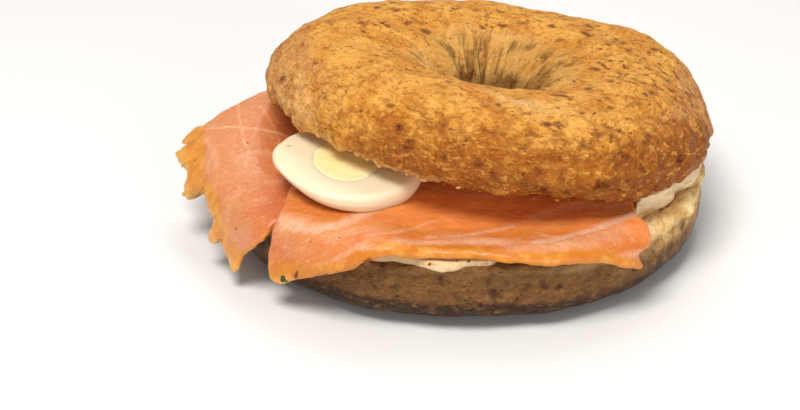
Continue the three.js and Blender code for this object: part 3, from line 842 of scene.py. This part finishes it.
def path(corners, wobble=0.0, size=3.0, seed=0):
    """A curve of 0..1 through (x, y) corners, slightly rounded, with an uneven edge if wanted."""
    c = np.array(corners, float)
    along = np.concatenate([[0], np.cumsum(np.linalg.norm(np.diff(c, axis=0), axis=1))])

    def curve(t):
        t = np.asarray(t, float)
        out = np.zeros(t.shape + (2,))
        for reach, share in ((-0.5, 0.25), (0.0, 0.5), (0.5, 0.25)):
            s = t * along[-1] + reach * np.minimum(1, 8 * np.minimum(t, 1 - t))
            s = np.clip(s, 0, along[-1])
            out += share * np.stack([np.interp(s, along, c[:, k]) for k in (0, 1)], -1)
        calm = ease(np.minimum(t, 1 - t) * 10)
        where = np.stack([t * along[-1], 0 * t, 0 * t], -1)
        for k in (0, 1):
            out[..., k] += wobble * calm * fbm(where, size, 3, seed + 7 * k)
        return out

    return curve


def patch(inner, outer, back, front, u, v):
    """Four-sided patch between its edge curves: inner and outer run with v, back and front
    with u."""
    corner = [[back(0.0), front(0.0)], [back(1.0), front(1.0)]]
    sides = inner(v), outer(v), back(u), front(u)
    u, v = u[..., None], v[..., None]
    lofted = (1 - u) * sides[0] + u * sides[1] + (1 - v) * sides[2] + v * sides[3]
    at_inner = (1 - v) * corner[0][0] + v * corner[0][1]
    at_outer = (1 - v) * corner[1][0] + v * corner[1][1]
    return lofted - (1 - u) * at_inner - u * at_outer


def edge_stops(length, pitch):
    """Stops from 0 to 1, close together at both ends so that edges come out round."""
    start = np.array([0, 0.05, 0.16, 0.34, 0.6, 0.95, 1.4])
    inner = np.linspace(2.0, length - 2.0, max(4, int((length - 4) / pitch)))
    return np.concatenate([start, inner, length - start[::-1]]) / length


def line_distance(points, corners):
    """Distance of plan points from a smooth line through a few corners."""
    c = np.array(corners, float)
    t = np.linspace(0, len(c) - 1, 8 * len(c))
    k = np.minimum(t.astype(int), len(c) - 2)
    s = (t - k)[:, None]
    slope = np.gradient(c, axis=0)
    line = ((2 * s ** 3 - 3 * s ** 2 + 1) * c[k] + (s ** 3 - 2 * s ** 2 + s) * slope[k]
            + (-2 * s ** 3 + 3 * s ** 2) * c[k + 1] + (s ** 3 - s ** 2) * slope[k + 1])
    best = np.full(points.shape[:-1], 1e9)
    for a, b in zip(line[:-1], line[1:]):
        ab = b - a
        along = np.clip(((points - a) @ ab) / (ab @ ab + 1e-9), 0, 1)
        best = np.minimum(best, np.linalg.norm(points - a - along[..., None] * ab, axis=-1))
    return best


def fat_lines(points, lines):
    """For each point, distance from the nearest line of fat over its width, and its strength."""
    nearest, strength = np.full(points.shape[:-1], 9.0), np.zeros(points.shape[:-1])
    for width, share, corners in lines:
        d = line_distance(points, corners) / width
        closer = d < nearest
        nearest, strength = np.where(closer, d, nearest), np.where(closer, share, strength)
    return nearest, strength


def add_hidden_fat(veins, strength, stripes, where, hidden_strength):
    """Where the slice lies under the upper half, plain stripes of fat run on."""
    return (np.where(where, np.minimum(veins, stripes), veins),
            np.where(where, hidden_strength, strength))


def salmon_material(name, flesh, deep, amber, fat, streak, marbled):
    """Moist smoked salmon. The mesh gives: plan, mm on the slice laid flat; veins and fat, the
    distance from a line of fat over its width and its strength; margin, mm inside the amber
    border; redder, how deep the colour, with painted shade and painted light in places;
    rosy, a brighter colour painted where the upper half shades the slice; dark,
    distance from a thin brown line. Marks stretch along the slice by 1 / streak, and marbled is
    how pale it is."""
    g = Graph(name)
    plan = g.vector("plan")
    veins, strength, margin = g.values("veins", "fat", "margin")
    redder, rosy, dark = g.values("redder", "rosy", "dark")
    along = g.scaled(plan, (streak, 1.0, 1.0))
    depth = redder + g.swing(2.4, along, 5.0, 4, 0.6, 0.4)
    g.colour = g.mix(g.step(depth, 0.0, 1.0), flesh, deep)
    g.cover(g.noise(along, 7.0, 4, 0.62, 0.6), 0.50, 0.72, fat, marbled)
    g.cover(g.noise(plan, 4.0, 4, 0.62, 0.4), 0.50, 0.70, (222, 120, 40), 0.40)
    grain = g.noise(g.scaled(plan, (streak + 0.15, 1.0, 1.0)), 0.8, 4, 0.65, 0.4)
    g.cover(grain, 0.50, 0.72, fat, 0.42)
    g.cover(grain, 0.48, 0.30, deep, 0.35)
    # painted light: a brighter colour where the upper half shades the slice
    g.paint(rosy, (250, 150, 80))
    # lines of fat, soft and broken
    band = g.step(veins + g.swing(1.6, along, 2.2, 4, 0.65, 0.5), 1.50, 0.10)
    band *= g.step(g.noise(plan, 1.1, 3), 0.20, 0.62, 0.45, 1.0)
    g.paint(band * strength, fat)
    # painted glints: tiny pale highlights between the fibres
    painted_glint = g.step(g.cells(g.scaled(plan, (0.55, 1.0, 1.0)), 0.75), 0.20, 0.06)
    where = g.step(g.noise(plan, 4.5, 3), 0.46, 0.62)
    g.paint(painted_glint * where * 0.60, (255, 214, 168))
    # amber border, darker in its middle and pale right at the edge
    ragged = margin + g.swing(4.6, plan, 3.6, 5, 0.64)
    browner = g.mix(0.4, amber, (196, 96, 20))
    toasted = g.mix(g.step(g.noise(along, 2.6, 4), 0.35, 0.65), amber, browner)
    for share, colour in (
            (g.step(g.noise(plan, 3.4, 3, 0.5), 0.46, 0.66, 0, 0.55), (236, 166, 62)),
            (g.step(g.noise(plan, 2.8, 3, 0.5), 0.50, 0.32, 0, 0.5), (206, 116, 38)),
            (g.step(ragged, -4.2, -7.0, 0, 0.65), (236, 180, 84))):
        toasted = g.mix(share, toasted, colour)
    g.cover(ragged, 1.3, -0.9, toasted, 0.95)
    dark = dark + g.swing(1.4, plan, 1.2, 4)
    g.cover(dark, 1.6, 0.2, (176, 100, 58), 0.38)
    specks = g.cells(plan, 4.6) + g.swing(0.25, plan, 0.6, 2)
    specks = g.step(specks, 0.055, 0.035) * g.step(g.noise(plan, 7, 2), 0.45, 0.6)
    g.paint(specks * 0.65, (120, 62, 32))
    height = grain * 0.16 + g.noise(plan, 1.8, 4, 0.6) * 0.22 + painted_glint * 0.03
    rough = 0.32 + g.swing(0.30, plan, 1.1, 3)
    return g.surface(rough, height, glow=(0.25, 1.4, 0.8, 0.4),
                     Coat_Weight=0.10, Coat_Roughness=0.18)


def slice_mesh(name, plan, mid, thick, size, pitch, looks, material, node):
    """A closed slice: upper and lower faces that meet in a round edge. Plan and thick give the
    place and the thickness at shares u and v of its size, mid the middle of its thickness."""
    stops = (edge_stops(length, step / FINE) for length, step in zip(size, pitch))
    u, v = np.meshgrid(*stops, indexing="ij")
    xy = plan(u, v)
    centre = mid(xy[..., 0], xy[..., 1])
    n = grid_normals(centre, False)
    flip = n[..., 2].mean() < 0
    if flip:
        n = -n
    half = thick(u, v) / 2
    flat = np.stack([xy[..., 0], xy[..., 1], 0 * u], -1)
    swell = np.clip(half, 0.25, 0.8)[..., None] * n
    relief = (0.34 * fbm(flat, 12, 2, 91) + 0.20 * fbm(flat, 4.2, 3, 92))[..., None] * swell
    upper = centre + n * half[..., None] + relief
    lower = centre - n * half[..., None] + relief
    nu, nv = u.shape
    top_id = np.arange(nu * nv).reshape(nu, nv)
    low_id = top_id.copy()
    low_id[1:-1, 1:-1] = nu * nv + np.arange((nu - 2) * (nv - 2)).reshape(nu - 2, nv - 2)

    def quads(ids, turned):
        q = np.stack([ids[:-1, :-1], ids[1:, :-1], ids[1:, 1:], ids[:-1, 1:]], -1).reshape(-1, 4)
        return q[:, ::-1] if turned else q

    def both(above, below):
        tail = above.shape[2:]
        return np.concatenate([above.reshape(-1, *tail), below[1:-1, 1:-1].reshape(-1, *tail)])

    faces = np.concatenate([quads(top_id, flip), quads(low_id, not flip)])
    up = np.array([0, 0, 1.0]) * half[..., None]
    attributes = {key: both(values, values) for key, values in looks(u, v, xy).items()}
    attributes["plan"] = both(flat + up, flat - up)
    return make_mesh(name, both(upper, lower), faces, attributes, material, node)


def edge_round(distance, thickness, width):
    """Thickness near an edge, so that the edge comes out round."""
    t = np.clip(distance / width, 0, 1)
    return thickness * np.sqrt(np.maximum(0, 1 - (1 - t) ** 2))


# left slice: torn at its outer end, which hangs over the bread
A_CORNER, A_TIP = (-75.0, 14.6), (-69.4, -40.4)
A_TORN = [
    A_CORNER, (-76.6, 12.8), (-78.2, 11.6), (-78.2, 9.9), (-77.0, 8.2), (-76.0, 7.2), (-77.6, 7.2),
    (-80.6, 7.2), (-79.6, 4.0), (-77.4, -0.6), (-76.6, -3.4), (-78.8, -6.4), (-79.5, -8.6),
    (-77.6, -10.6), (-74.4, -11.4), (-72.4, -12.6), (-71.0, -15.2), (-70.5, -19.9), (-69.5, -23.0),
    (-70.3, -24.6), (-73.8, -26.1), (-73.0, -28.2), (-70.6, -29.4), (-69.0, -33.4), (-69.3, -38.3),
    A_TIP]
# the same edge without its teeth
A_GUIDE = [A_CORNER, (-77.6, 9.0), (-78.0, 3.0), (-77.2, -6.0), (-73.6, -15.0), (-71.0, -24.0),
           (-69.6, -33.0), A_TIP]
A_BACK = [(-20, 37), (-48, 30.2), (-54.9, 26.8), (-62.1, 20.3), (-69.5, 15.3), (-71.9, 13.4),
          A_CORNER]
A_FRONT = [(-20, -38.3), (-48, -38.6), (-53.5, -41.2), (-58.0, -41.0), (-63.5, -40.0),
           (-67.0, -41.4), A_TIP]
A_SIZE, A_PITCH = (56, 66), (0.44, 0.42)  # mm out and across, and mm between points
# (y, x) where its amber border starts
A_AMBER_X = [(30, -74), (11.9, -72.0), (5.1, -70.8), (-6.9, -70.4), (-10.6, -69.6), (-15.3, -67.4),
             (-19.8, -65.6), (-25.4, -64.2), (-34.7, -63.5), (-38, -62), (-42, -58)]
A_FAT = [  # (width, strength, line)
    (0.50, 0.60, [(-72, 10.4), (-67.5, 8.1), (-63.2, 6.6), (-56.9, 5.2), (-50, 6.2), (-42, 5)]),
    (0.42, 0.50, [(-62.6, 18.5), (-61.5, 10.1), (-59.7, 0.2), (-58.2, -4.4), (-58.6, -12)]),
    (0.40, 0.45, [(-56.6, 16), (-54.1, 10.2), (-52.9, 8.1), (-51.2, 2), (-52, -6)]),
    (0.9, 0.35, [(-70, 4), (-67, -3), (-66, -10)])]
A_DARK = [(-57.8, -18.9), (-57.0, -22.3), (-58.4, -25.6), (-56.6, -28.5)]  # a thin brown line


def slice_a_mid(X, Y):
    """Middle of the left slice's thickness: its back stays up, its front hangs."""
    turned = np.degrees(np.arctan2(Y, X)) % 360
    lift = A_LIFT * ease((205 - turned) / 55) * ease((np.hypot(X, Y) - 46) / 12)
    z = np.minimum(SLICE_A_Z + lift, upper_floor(X, Y) - GAP - SLICE_A_T / 2 - 0.2)
    hang = np.radians(20 + 55 * ease((turned - 165) / 45))
    return drape(X, Y, z, hang, A_BEND, BEND_START)


def salmon_left():
    inner = path([A_BACK[0], A_FRONT[0]])
    outer = path(A_TORN, 0.50, 1.2, 101)
    guide = path(A_GUIDE)
    back = path(A_BACK, 0.35, 5, 103)
    front = path(A_FRONT, 0.30, 3, 105)
    length, width = A_SIZE

    def plan(u, v):
        ragged = (outer(v) - guide(v)) * ease((u - 0.80) / 0.20)[..., None]
        return patch(inner, guide, back, front, u, v) + ragged

    def thick(u, v):
        torn = edge_round((1 - u) * length, SLICE_A_T, 3.4)
        nearest = np.minimum(np.minimum(u * length, v * width), (1 - v) * width)
        return np.minimum(torn, edge_round(nearest, SLICE_A_T, 1.3))

    def looks(u, v, xy):
        x, y = xy[..., 0], xy[..., 1]
        stripes = np.abs((y * 0.35 + x) / 9 % 1 - 0.5) * 9 / 0.6
        veins, fat = add_hidden_fat(*fat_lines(xy, A_FAT), stripes, x > -46, 0.5)
        from_front = (1 - v) * width - 2.0 * ease((-56 - x) / 8)
        border = np.minimum(x - through(y, A_AMBER_X), from_front)
        # deeper towards the middle and the front, where the upper half and the egg lie over the
        # slice: painted shade
        redder = ease((x + 62) / 16) * 0.8 + 0.25 * ease((-14 - y) / 14)
        return {"veins": veins, "fat": fat, "margin": border, "redder": redder,
                "dark": line_distance(xy, A_DARK) / 0.30, "rosy": 0 * u}

    material = salmon_material("salmon_left_look", (217, 140, 88), (210, 110, 54), (222, 146, 46),
                               (240, 186, 146), 0.60, 0.45)
    return slice_mesh("salmon_slice_left", plan, slice_a_mid, thick, A_SIZE, A_PITCH, looks,
                      material, "salmon_left")


# front slice: a long strip that hangs over the front rim
B_LEFT_END, B_RIGHT_END = (-57.4, -52.6), (43.0, -50.7)
B_LEFT = [(-28, 50), (-35, 20), (-43, -10), (-46.6, -28), (-47.4, -35.6), (-48.6, -40.4),
          (-52.0, -43.7), (-55.4, -46.1), (-57.2, -48.2), (-58.3, -50.6), B_LEFT_END]
B_RIGHT = [(36, 38), (39, 0), (39, -31), (38.7, -35.8), (40.8, -39.8), (42.6, -42.6), (42.4, -44.9),
           (39.8, -47.4), (40.6, -48.5), (43.0, -49.4), B_RIGHT_END]
B_BACK = [B_LEFT[0], B_RIGHT[0]]
B_FRONT = [B_LEFT_END, (-55.6, -54.2), (-51.0, -55.2), (-43.0, -57.2), (-36.4, -58.4),
           (-31.2, -58.5), (-27.4, -57.4), (-19.0, -57.2), (-12.0, -56.0), (0.0, -56.5),
           (7.0, -57.6), (16.0, -57.2), (25.6, -54.9), (31.3, -53.4), (36.3, -52.7), B_RIGHT_END]
B_SIZE, B_PITCH = (92, 104), (0.58, 0.58)
B_FAT = [  # (width, strength, line)
    (2.0, 0.78, [(-48.2, -40.6), (-45.4, -43.1), (-42.9, -45.2), (-39.9, -46.7), (-36.7, -47.4),
                 (-33.6, -46.6), (-30.9, -44.2), (-26.0, -39.5)]),
    (3.4, 0.18, [(-46.0, -47), (-40.0, -50.0), (-32.0, -50.4), (-24, -49.4)]),
    (1.5, 1.00, [(41.0, -34.5), (38.2, -36.9), (31.6, -42.1), (27.3, -45.2), (21.4, -48.3),
                 (17.2, -50.8), (12.8, -52.2)]),
    (2.8, 0.42, [(34.0, -43.5), (26.5, -48.8), (17.0, -52.8), (8.0, -53.6)]),
    (1.0, 0.65, [(8.0, -43.2), (3.2, -45.6), (-4.6, -48.2), (-12.0, -49.4)]),
    (2.0, 0.70, [(-19.0, -53.5), (-9.5, -51.8), (-2.3, -51.2), (6.5, -51.7)]),
    (0.6, 0.45, [(-27.0, -52.0), (-21.2, -50.4), (-16.4, -45.6), (-10.0, -41.0)]),
    (2.4, 0.42, [(14.3, -38.5), (20.2, -34.6), (26.5, -32.8), (35.0, -31.8)]),
    (0.9, 0.55, [(28.5, -54.2), (33.3, -51.1), (39.4, -47.4)]),
    (0.6, 0.45, [(-44.5, -54.4), (-38.8, -55.2), (-34.2, -55.0), (-27.0, -54.4)])]


def slice_b_mid(X, Y):
    """Middle of the front slice's thickness: it climbs on to the left slice, is ruffled up to
    the upper half where that hides it, and hangs at the front."""
    over = ease((B_CLIMB_X - X) / B_CLIMB_WIDE)
    low = SLICE_B_Z + B_OVER_A * over
    high = upper_floor(X, Y) - 2 * GAP - SLICE_B_T / 2
    slant = Y + FOLD_SLANT * X
    fold = 0.5 + 0.5 * np.cos(2 * np.pi * (slant - FOLD_AT) / FOLD_EVERY)
    pressed = FOLD_PRESS * ease((high - low) / 3)  # the crests go on into the upper half
    rise = (np.maximum(0, high - low) + pressed) * fold * ease((slant + 9) / 8)
    z = np.minimum(low, high + GAP) + rise
    return drape(X, Y, z, math.radians(B_HANG), B_BEND, BEND_START - BEND_START * over)


def salmon_front():
    inner = path(B_LEFT, 0.22, 4, 111)
    outer = path(B_RIGHT, 0.25, 3, 112)
    back = path(B_BACK)
    front = path(B_FRONT, 0.22, 4, 114)
    length, width = B_SIZE

    def plan(u, v):
        return patch(inner, outer, back, front, u, v)

    def thick(u, v):
        xy = plan(u, v)
        room = upper_floor(xy[..., 0], xy[..., 1]) - GAP - (LOWER_H + 1.7)
        full = np.minimum(SLICE_B_T, np.maximum(1.1, room))
        nearest = np.minimum(np.minimum(u, 1 - u) * length, np.minimum(v, 1 - v) * width)
        return edge_round(nearest, full, 1.6)

    def looks(u, v, xy):
        x, y = xy[..., 0], xy[..., 1]
        drift = y + 0.22 * x + 3 * noise(np.stack([x, y, 0 * u], -1), 22, 115)
        stripes = np.abs(drift / 10 % 1 - 0.5) * 10 / 0.7
        veins, fat = add_hidden_fat(*fat_lines(xy, B_FAT), stripes, y > -29, 0.6)
        border = (1 - v) * width - 3.3 - 3.4 * bump((x + 55) / 7, 1.0) + 0.5 * np.sin(x / 6)
        # under the upper half's rim the flesh is less deep: painted light where the rim shades the
        # slice
        redder = 0.35 + 0.25 * ease((y + 47) / 6) - 0.35 * ease((y + 42) / 6)
        redder += 0.5 * bump(np.hypot(x + 52, y + 49) / 4, 1.0) + 0.25 * ease((x - 28) / 10)
        redder += 0.30 * ease((-45 - x) / 7)
        # painted light: a brighter colour where the upper half shades the slice
        rosy = 0.65 * ease((y + 47) / 5) * ease((x + 26) / 10)
        return {"veins": veins, "fat": fat, "margin": border, "redder": redder, "dark": 9 + 0 * u,
                "rosy": rosy}

    material = salmon_material("salmon_front_look", (218, 130, 58), (210, 108, 30), (214, 132, 8),
                               (234, 182, 148), 0.30, 0.28)
    return slice_mesh("salmon_slice_front", plan, slice_b_mid, thick, B_SIZE, B_PITCH, looks,
                      material, "salmon_front")


# ---- egg -----------------------------------------------------------------------------
def yolk_edge(phi):
    """Radius of the yolk, a little longer than wide, at each angle."""
    wide, long = YOLK_SIZE
    lane = on_circle(phi, long, 0)
    ring = wide * long / np.hypot(long * np.cos(phi), wide * np.sin(phi))
    return ring * (1 + 0.03 * noise(lane, 7, 121) + 0.012 * noise(lane, 2, 122))


def egg_white_material():
    """The mesh gives place and face, which is 1 on the cut face and 0 below it."""
    g = Graph("egg_white_look")
    place, (face,) = g.vector("place"), g.values("face")
    g.colour = g.mix(g.noise(place, 6, 3), (241, 222, 192), (235, 212, 176))
    g.paint(face * 0.65, (239, 225, 191))
    # pale patches on the white: painted highlights
    g.cover(g.noise(place, 1.6, 4), 0.60, 0.78, (248, 238, 212), 0.30)
    height = g.noise(place, 2.4, 3) + g.noise(place, 0.6, 3) * 0.35
    rough = 0.30 + g.noise(place, 2, 3) * 0.15
    return g.surface(rough, height, 0.10, glow=(0.6, 2.6, 2.2, 1.7))


def yolk_material():
    """The mesh gives place and share, which is 0 in the middle and 1 at the edge."""
    g = Graph("egg_yolk_look")
    place, (share,) = g.vector("place"), g.values("share")
    g.colour = g.mix(g.noise(place, 4, 4), (254, 234, 172), (251, 222, 142))
    crumbs = g.cells(place, 0.8)
    g.cover(crumbs, 0.1, 0.5, (253, 236, 182), 0.3)
    outward = share + g.swing(0.10, place, 1.6, 3)
    g.cover(outward, 0.82, 1.02, (251, 237, 196), 0.7)
    height = crumbs * 0.8 + g.noise(place, 0.5, 3)
    return g.surface(0.62, height, 0.10, glow=(0.25, 1.2, 0.8, 0.3))


def placed_egg(p):
    return p @ EGG_TURN.T + np.array(EGG_AT)


def egg_ring(phi, radius, z):
    """A ring of points about the middle of the yolk."""
    return on_circle(phi, radius, z) + (*YOLK_OFF, 0)


def egg_white():
    phi = full_circle(EGG_TURNS)
    R, T = EGG_R, EGG_T
    # its side, from the upper face down: (distance out, height), round at both ends
    quarter = [(1 - math.cos(a), math.sin(a)) for a in np.linspace(0, math.pi / 2, 9)]
    side = [(R - EGG_EDGE * (1 - out), -EGG_EDGE * down) for down, out in quarter]
    side += [(R + 0.25, -T * 0.5)]
    side += [(R - EGG_EDGE * back, -T + EGG_EDGE * (1 - down)) for back, down in quarter]
    outline = R * (1 + 0.010 * np.cos(2 * phi + 1) + 0.007 * np.cos(3 * phi))
    outline = outline - 0.5 * around(phi, 152, 9) - 1.6 * around(phi, 218, 42)
    outline = outline - 0.5 * around(phi, -8, 30)
    thin = around(phi, 208, 48)
    inner = egg_ring(phi, yolk_edge(phi), 0)
    outer = on_circle(phi, (R - EGG_EDGE) / R * outline, 0)
    rows = [inner - (0, 0, T), inner]
    for s in np.linspace(0.04, 1, 26):
        rows.append(inner + (outer - inner) * s + (0, 0, 0.10 * math.sin(math.pi * s)))
    for r, z in side[1:]:
        rows.append(on_circle(phi, r / R * outline + 3.0 * thin * z / T, z * (1 - 0.35 * thin)))
    p = np.concatenate(rows, axis=1)[:, ::-1]
    p = p + grid_normals(p, True) * (0.14 * fbm(p, 9, 2, 123))[..., None]
    attributes = {"place": p, "face": ease((p[..., 2] + 1.0) / 0.8)}
    return make_mesh("white", placed_egg(p), ring_quads(*p.shape[:2]), attributes,
                     egg_white_material(), "egg_white")


def egg_yolk():
    turns, rings = YOLK_GRID
    phi = full_circle(turns)
    edge = yolk_edge(phi) + 0.02  # a little into the white, so that no gap shows
    floor = -EGG_T + 0.1
    rows = [(s, 0.10 - 0.08 * s ** 8) for s in np.linspace(0.02, 1, int(rings * FINE))]
    rows += [(1.0, -0.6), (1.0, -EGG_T * 0.5), (1.0, floor), (0.5, floor), (0.02, floor)]
    p = np.concatenate([egg_ring(phi, s * edge, z) for s, z in rows], axis=1)[:, ::-1]
    share = np.hypot(p[..., 0] - YOLK_OFF[0], p[..., 1] - YOLK_OFF[1]) / edge
    grain = 0.10 * fbm(p, 2.4, 3, 131)
    p[..., 2] += grain * ease((p[..., 2] + 0.5) / 0.4) * ease((1 - share) * 8)
    return make_mesh("yolk", placed_egg(p), ring_quads(*p.shape[:2]),
                     {"place": p, "share": share}, yolk_material(), "egg_yolk")


# ---- crumbs and flecks ---------------------------------------------------------------
def lump_shape():
    """Points and triangles of a ball with 42 corners."""
    mesh = bmesh.new()
    bmesh.ops.create_icosphere(mesh, subdivisions=2, radius=1.0)
    points = np.array([v.co[:] for v in mesh.verts])
    faces = np.array([[v.index for v in f.verts] for f in mesh.faces])
    mesh.free()
    return points, faces


def lumps(name, places, material):
    """One mesh of uneven lumps: each place is (middle, half sizes, colour share, turn)."""
    ball, faces = lump_shape()
    points, all_faces, shares = [], [], []
    for k, (middle, sizes, share, angle) in enumerate(places):
        rough = ball * (1 + 0.30 * fbm(ball + 7.3 * k, 1.1, 3, 141))[:, None]
        rough = rough * np.asarray(sizes)
        c, s = math.cos(angle), math.sin(angle)
        rough = rough @ np.array([[c, s, 0], [-s, c, 0], [0, 0, 1]])
        points.append(rough + np.asarray(middle))
        all_faces.append(faces + k * len(ball))
        shares.append(np.full(len(ball), share))
    points = np.concatenate(points)
    attributes = {"place": points, "share": np.concatenate(shares)}
    return make_mesh(name, points, np.concatenate(all_faces), attributes, material)


def lump_material(name, dark, light, roughness):
    """The mesh gives place and share, which is 0 for the dark colour and 1 for the light one."""
    g = Graph(name)
    place, (share,) = g.vector("place"), g.values("share")
    blend = share + g.swing(0.6, place, 0.7, 3)
    g.colour = g.mix(g.step(blend, 0.0, 1.0), dark, light)
    height = g.noise(place, 0.35, 3, 0.6) * 0.25
    return g.surface(roughness, height)


def rim_point(degrees, inward=0.0):
    """A point on the upper half's cut rim, in the bagel's frame."""
    th = np.array(math.radians(degrees))
    r = (UPPER_R * 0.985 - inward) * oval(th, UPPER_OVAL)
    point = np.array([r * np.cos(th), r * np.sin(th), 0.0])
    return UPPER_TURN @ point + np.array(UPPER_AT)


def crumbs():
    """Crumbs on the ragged rim of the upper half and on the torn right shoulder."""
    places = []
    for _ in range(RIM_CRUMBS):
        degrees = rng.uniform(0, 360)
        size = mix(0.14, 0.36, rng.random() ** 2.5)
        middle = rim_point(degrees, rng.normal(0.6, 0.3)) + np.array([0, 0, rng.normal(1.2, 0.3)])
        sizes = size * rng.uniform(0.6, 1.3, 3)
        places.append((middle, sizes, rng.uniform(0, 1), rng.uniform(0, 6.3)))
    for degrees, size in ((237, 0.8), (245, 0.6), (250, 1.1), (259, 0.7)):
        middle, sizes = rim_point(degrees, 0.5) + (0, 0, 1.1), (size, 0.5 * size, 0.6 * size)
        places.append((middle, sizes, 0.9, -math.radians(degrees + 90)))
    for _ in range(SHOULDER_CRUMBS):
        th = math.radians(rng.normal(-22, 15))
        r = lower_rim(np.array(th)) * rng.uniform(0.95, 1.035)
        middle = np.array([r * math.cos(th), r * math.sin(th), LOWER_H + rng.uniform(-2.2, 0.3)])
        sizes = mix(0.25, 0.6, rng.random() ** 1.6) * rng.uniform(0.6, 1.3, 3)
        places.append((middle, sizes, rng.uniform(0.2, 1.2), rng.uniform(0, 6.3)))
    material = lump_material("crumb_look", (166, 96, 34), (210, 152, 78), 0.8)
    return lumps("crumbs", places, material)


def on_slice(mid, thickness, x, y):
    """Point on the upper face of a slice at plan (x, y)."""
    steps = ((0, 0), (0.2, 0), (0, 0.2))
    here, east, north = (mid(np.array(x + dx), np.array(y + dy)) for dx, dy in steps)
    n = np.cross(east - here, north - here)
    return here + n / np.linalg.norm(n) * thickness / 2


def herbs():
    """Two flecks of green herb on the corner of the front slice, and two pale ones on the egg."""
    corner = on_slice(slice_b_mid, SLICE_B_T * 0.8, -53.0, -53.6)
    egg = placed_egg(np.array([-14.4, 5.6, 0.0]))
    places = [(corner, (1.2, 0.6, 0.95), 0.1, 0.2),
              (corner + (0.9, 0, -0.3), (0.7, 0.4, 0.6), 0.0, 0.9),
              (egg, (0.8, 0.4, 0.12), 0.9, 0.6),
              (egg + (-0.9, 0.7, 0), (0.4, 0.3, 0.10), 1.0, 1.8)]
    material = lump_material("herb_look", (58, 66, 14), (190, 196, 126), 0.8)
    return lumps("herbs", places, material)


def flecks():
    """Brown flecks of pepper and bran on the slices."""
    places = []
    for mid, thickness, smallest, spots in (  # each spot is (x, y, half size)
            (slice_b_mid, SLICE_B_T * 0.9, 0.6, [
                (-48.8, -54.8, 0.60), (-48.2, -54.5, 0.62), (-47.5, -54.1, 0.50),
                (-27.0, -58.0, 0.8), (-26.2, -57.4, 0.5), (-12.0, -57.9, 0.4),
                (-5.6, -57.6, 0.35), (-3.0, -57.8, 0.4), (-40.0, -49.5, 0.22), (-33, -51, 0.2)]),
            (slice_a_mid, SLICE_A_T, 0.7, [
                (-58.7, -1.0, 0.25), (-63.5, -9.0, 0.18), (-60.5, -33.5, 0.2)])):
        for x, y, size in spots:
            middle, sizes = on_slice(mid, thickness, x, y), size * rng.uniform(smallest, 1.2, 3)
            places.append((middle, sizes, rng.uniform(0, 0.7), rng.uniform(0, 6.3)))
    material = lump_material("fleck_look", (96, 48, 22), (150, 88, 44), 0.85)
    return lumps("flecks", places, material)


# ---- stage, light, camera ------------------------------------------------------------
def stage():
    bpy.ops.mesh.primitive_circle_add(vertices=96, radius=6, fill_type="NGON", location=(0, 0, 0))
    floor = bpy.context.object
    floor.name = "floor"
    g = Graph("floor_look")
    place = g.node("TexCoord", {}, "Object")
    g.colour = g.mix(g.noise(place, 0.4, 2), (236, 235, 233), (240, 239, 237))
    floor.data.materials.append(g.surface(0.6))


def area_light(name, place, aim, size, power, colour=(1, 1, 1)):
    data = bpy.data.lights.new(name, "AREA")
    data.shape, data.size, data.energy, data.color = "DISK", size, power, colour
    ob = bpy.data.objects.new(name, data)
    ob.location = place
    ob.rotation_euler = (Vector(aim) - Vector(place)).to_track_quat("-Z", "Y").to_euler()
    bpy.context.scene.collection.objects.link(ob)


def light():
    world = bpy.data.worlds.new("studio")
    world.use_nodes = True
    background = world.node_tree.nodes["Background"]
    background.inputs["Color"].default_value = (1.0, 0.99, 0.97, 1)
    background.inputs["Strength"].default_value = 0.34
    bpy.context.scene.world = world
    area_light("key", (-0.18, -0.32, 0.78), (0, 0, 0), 0.42, 6.1, (1.0, 0.98, 0.95))
    area_light("back", (0.12, 0.50, 0.65), (0, 0, 0.02), 0.5, 1.9)
    area_light("front", (0.40, -0.80, 0.20), (0, 0, 0.02), 0.5, 2.5)
    bpy.context.scene.view_settings.view_transform = "Standard"


def camera():
    """27 degrees above the horizon, square to the front, 0.45 m from the bagel."""
    aim = Vector((-18.9, -5.3, 8.0)) + Vector(SHIFT)
    elevation, distance = math.radians(27), 450
    back = Vector((0, -math.cos(elevation), math.sin(elevation)))
    data = bpy.data.cameras.new("camera")
    data.sensor_width, data.lens = 36, 76.9
    data.clip_start, data.clip_end = 0.01, 50
    ob = bpy.data.objects.new("camera", data)
    ob.location = (aim + back * distance) * MM
    ob.rotation_euler = (-back).to_track_quat("-Z", "Y").to_euler()
    bpy.context.scene.collection.objects.link(ob)
    bpy.context.scene.camera = ob


upper_bread()
lower_bread()
cream_cheese()
salmon_left()
salmon_front()
egg_white()
egg_yolk()
crumbs()
herbs()
flecks()
stage()
light()
camera()
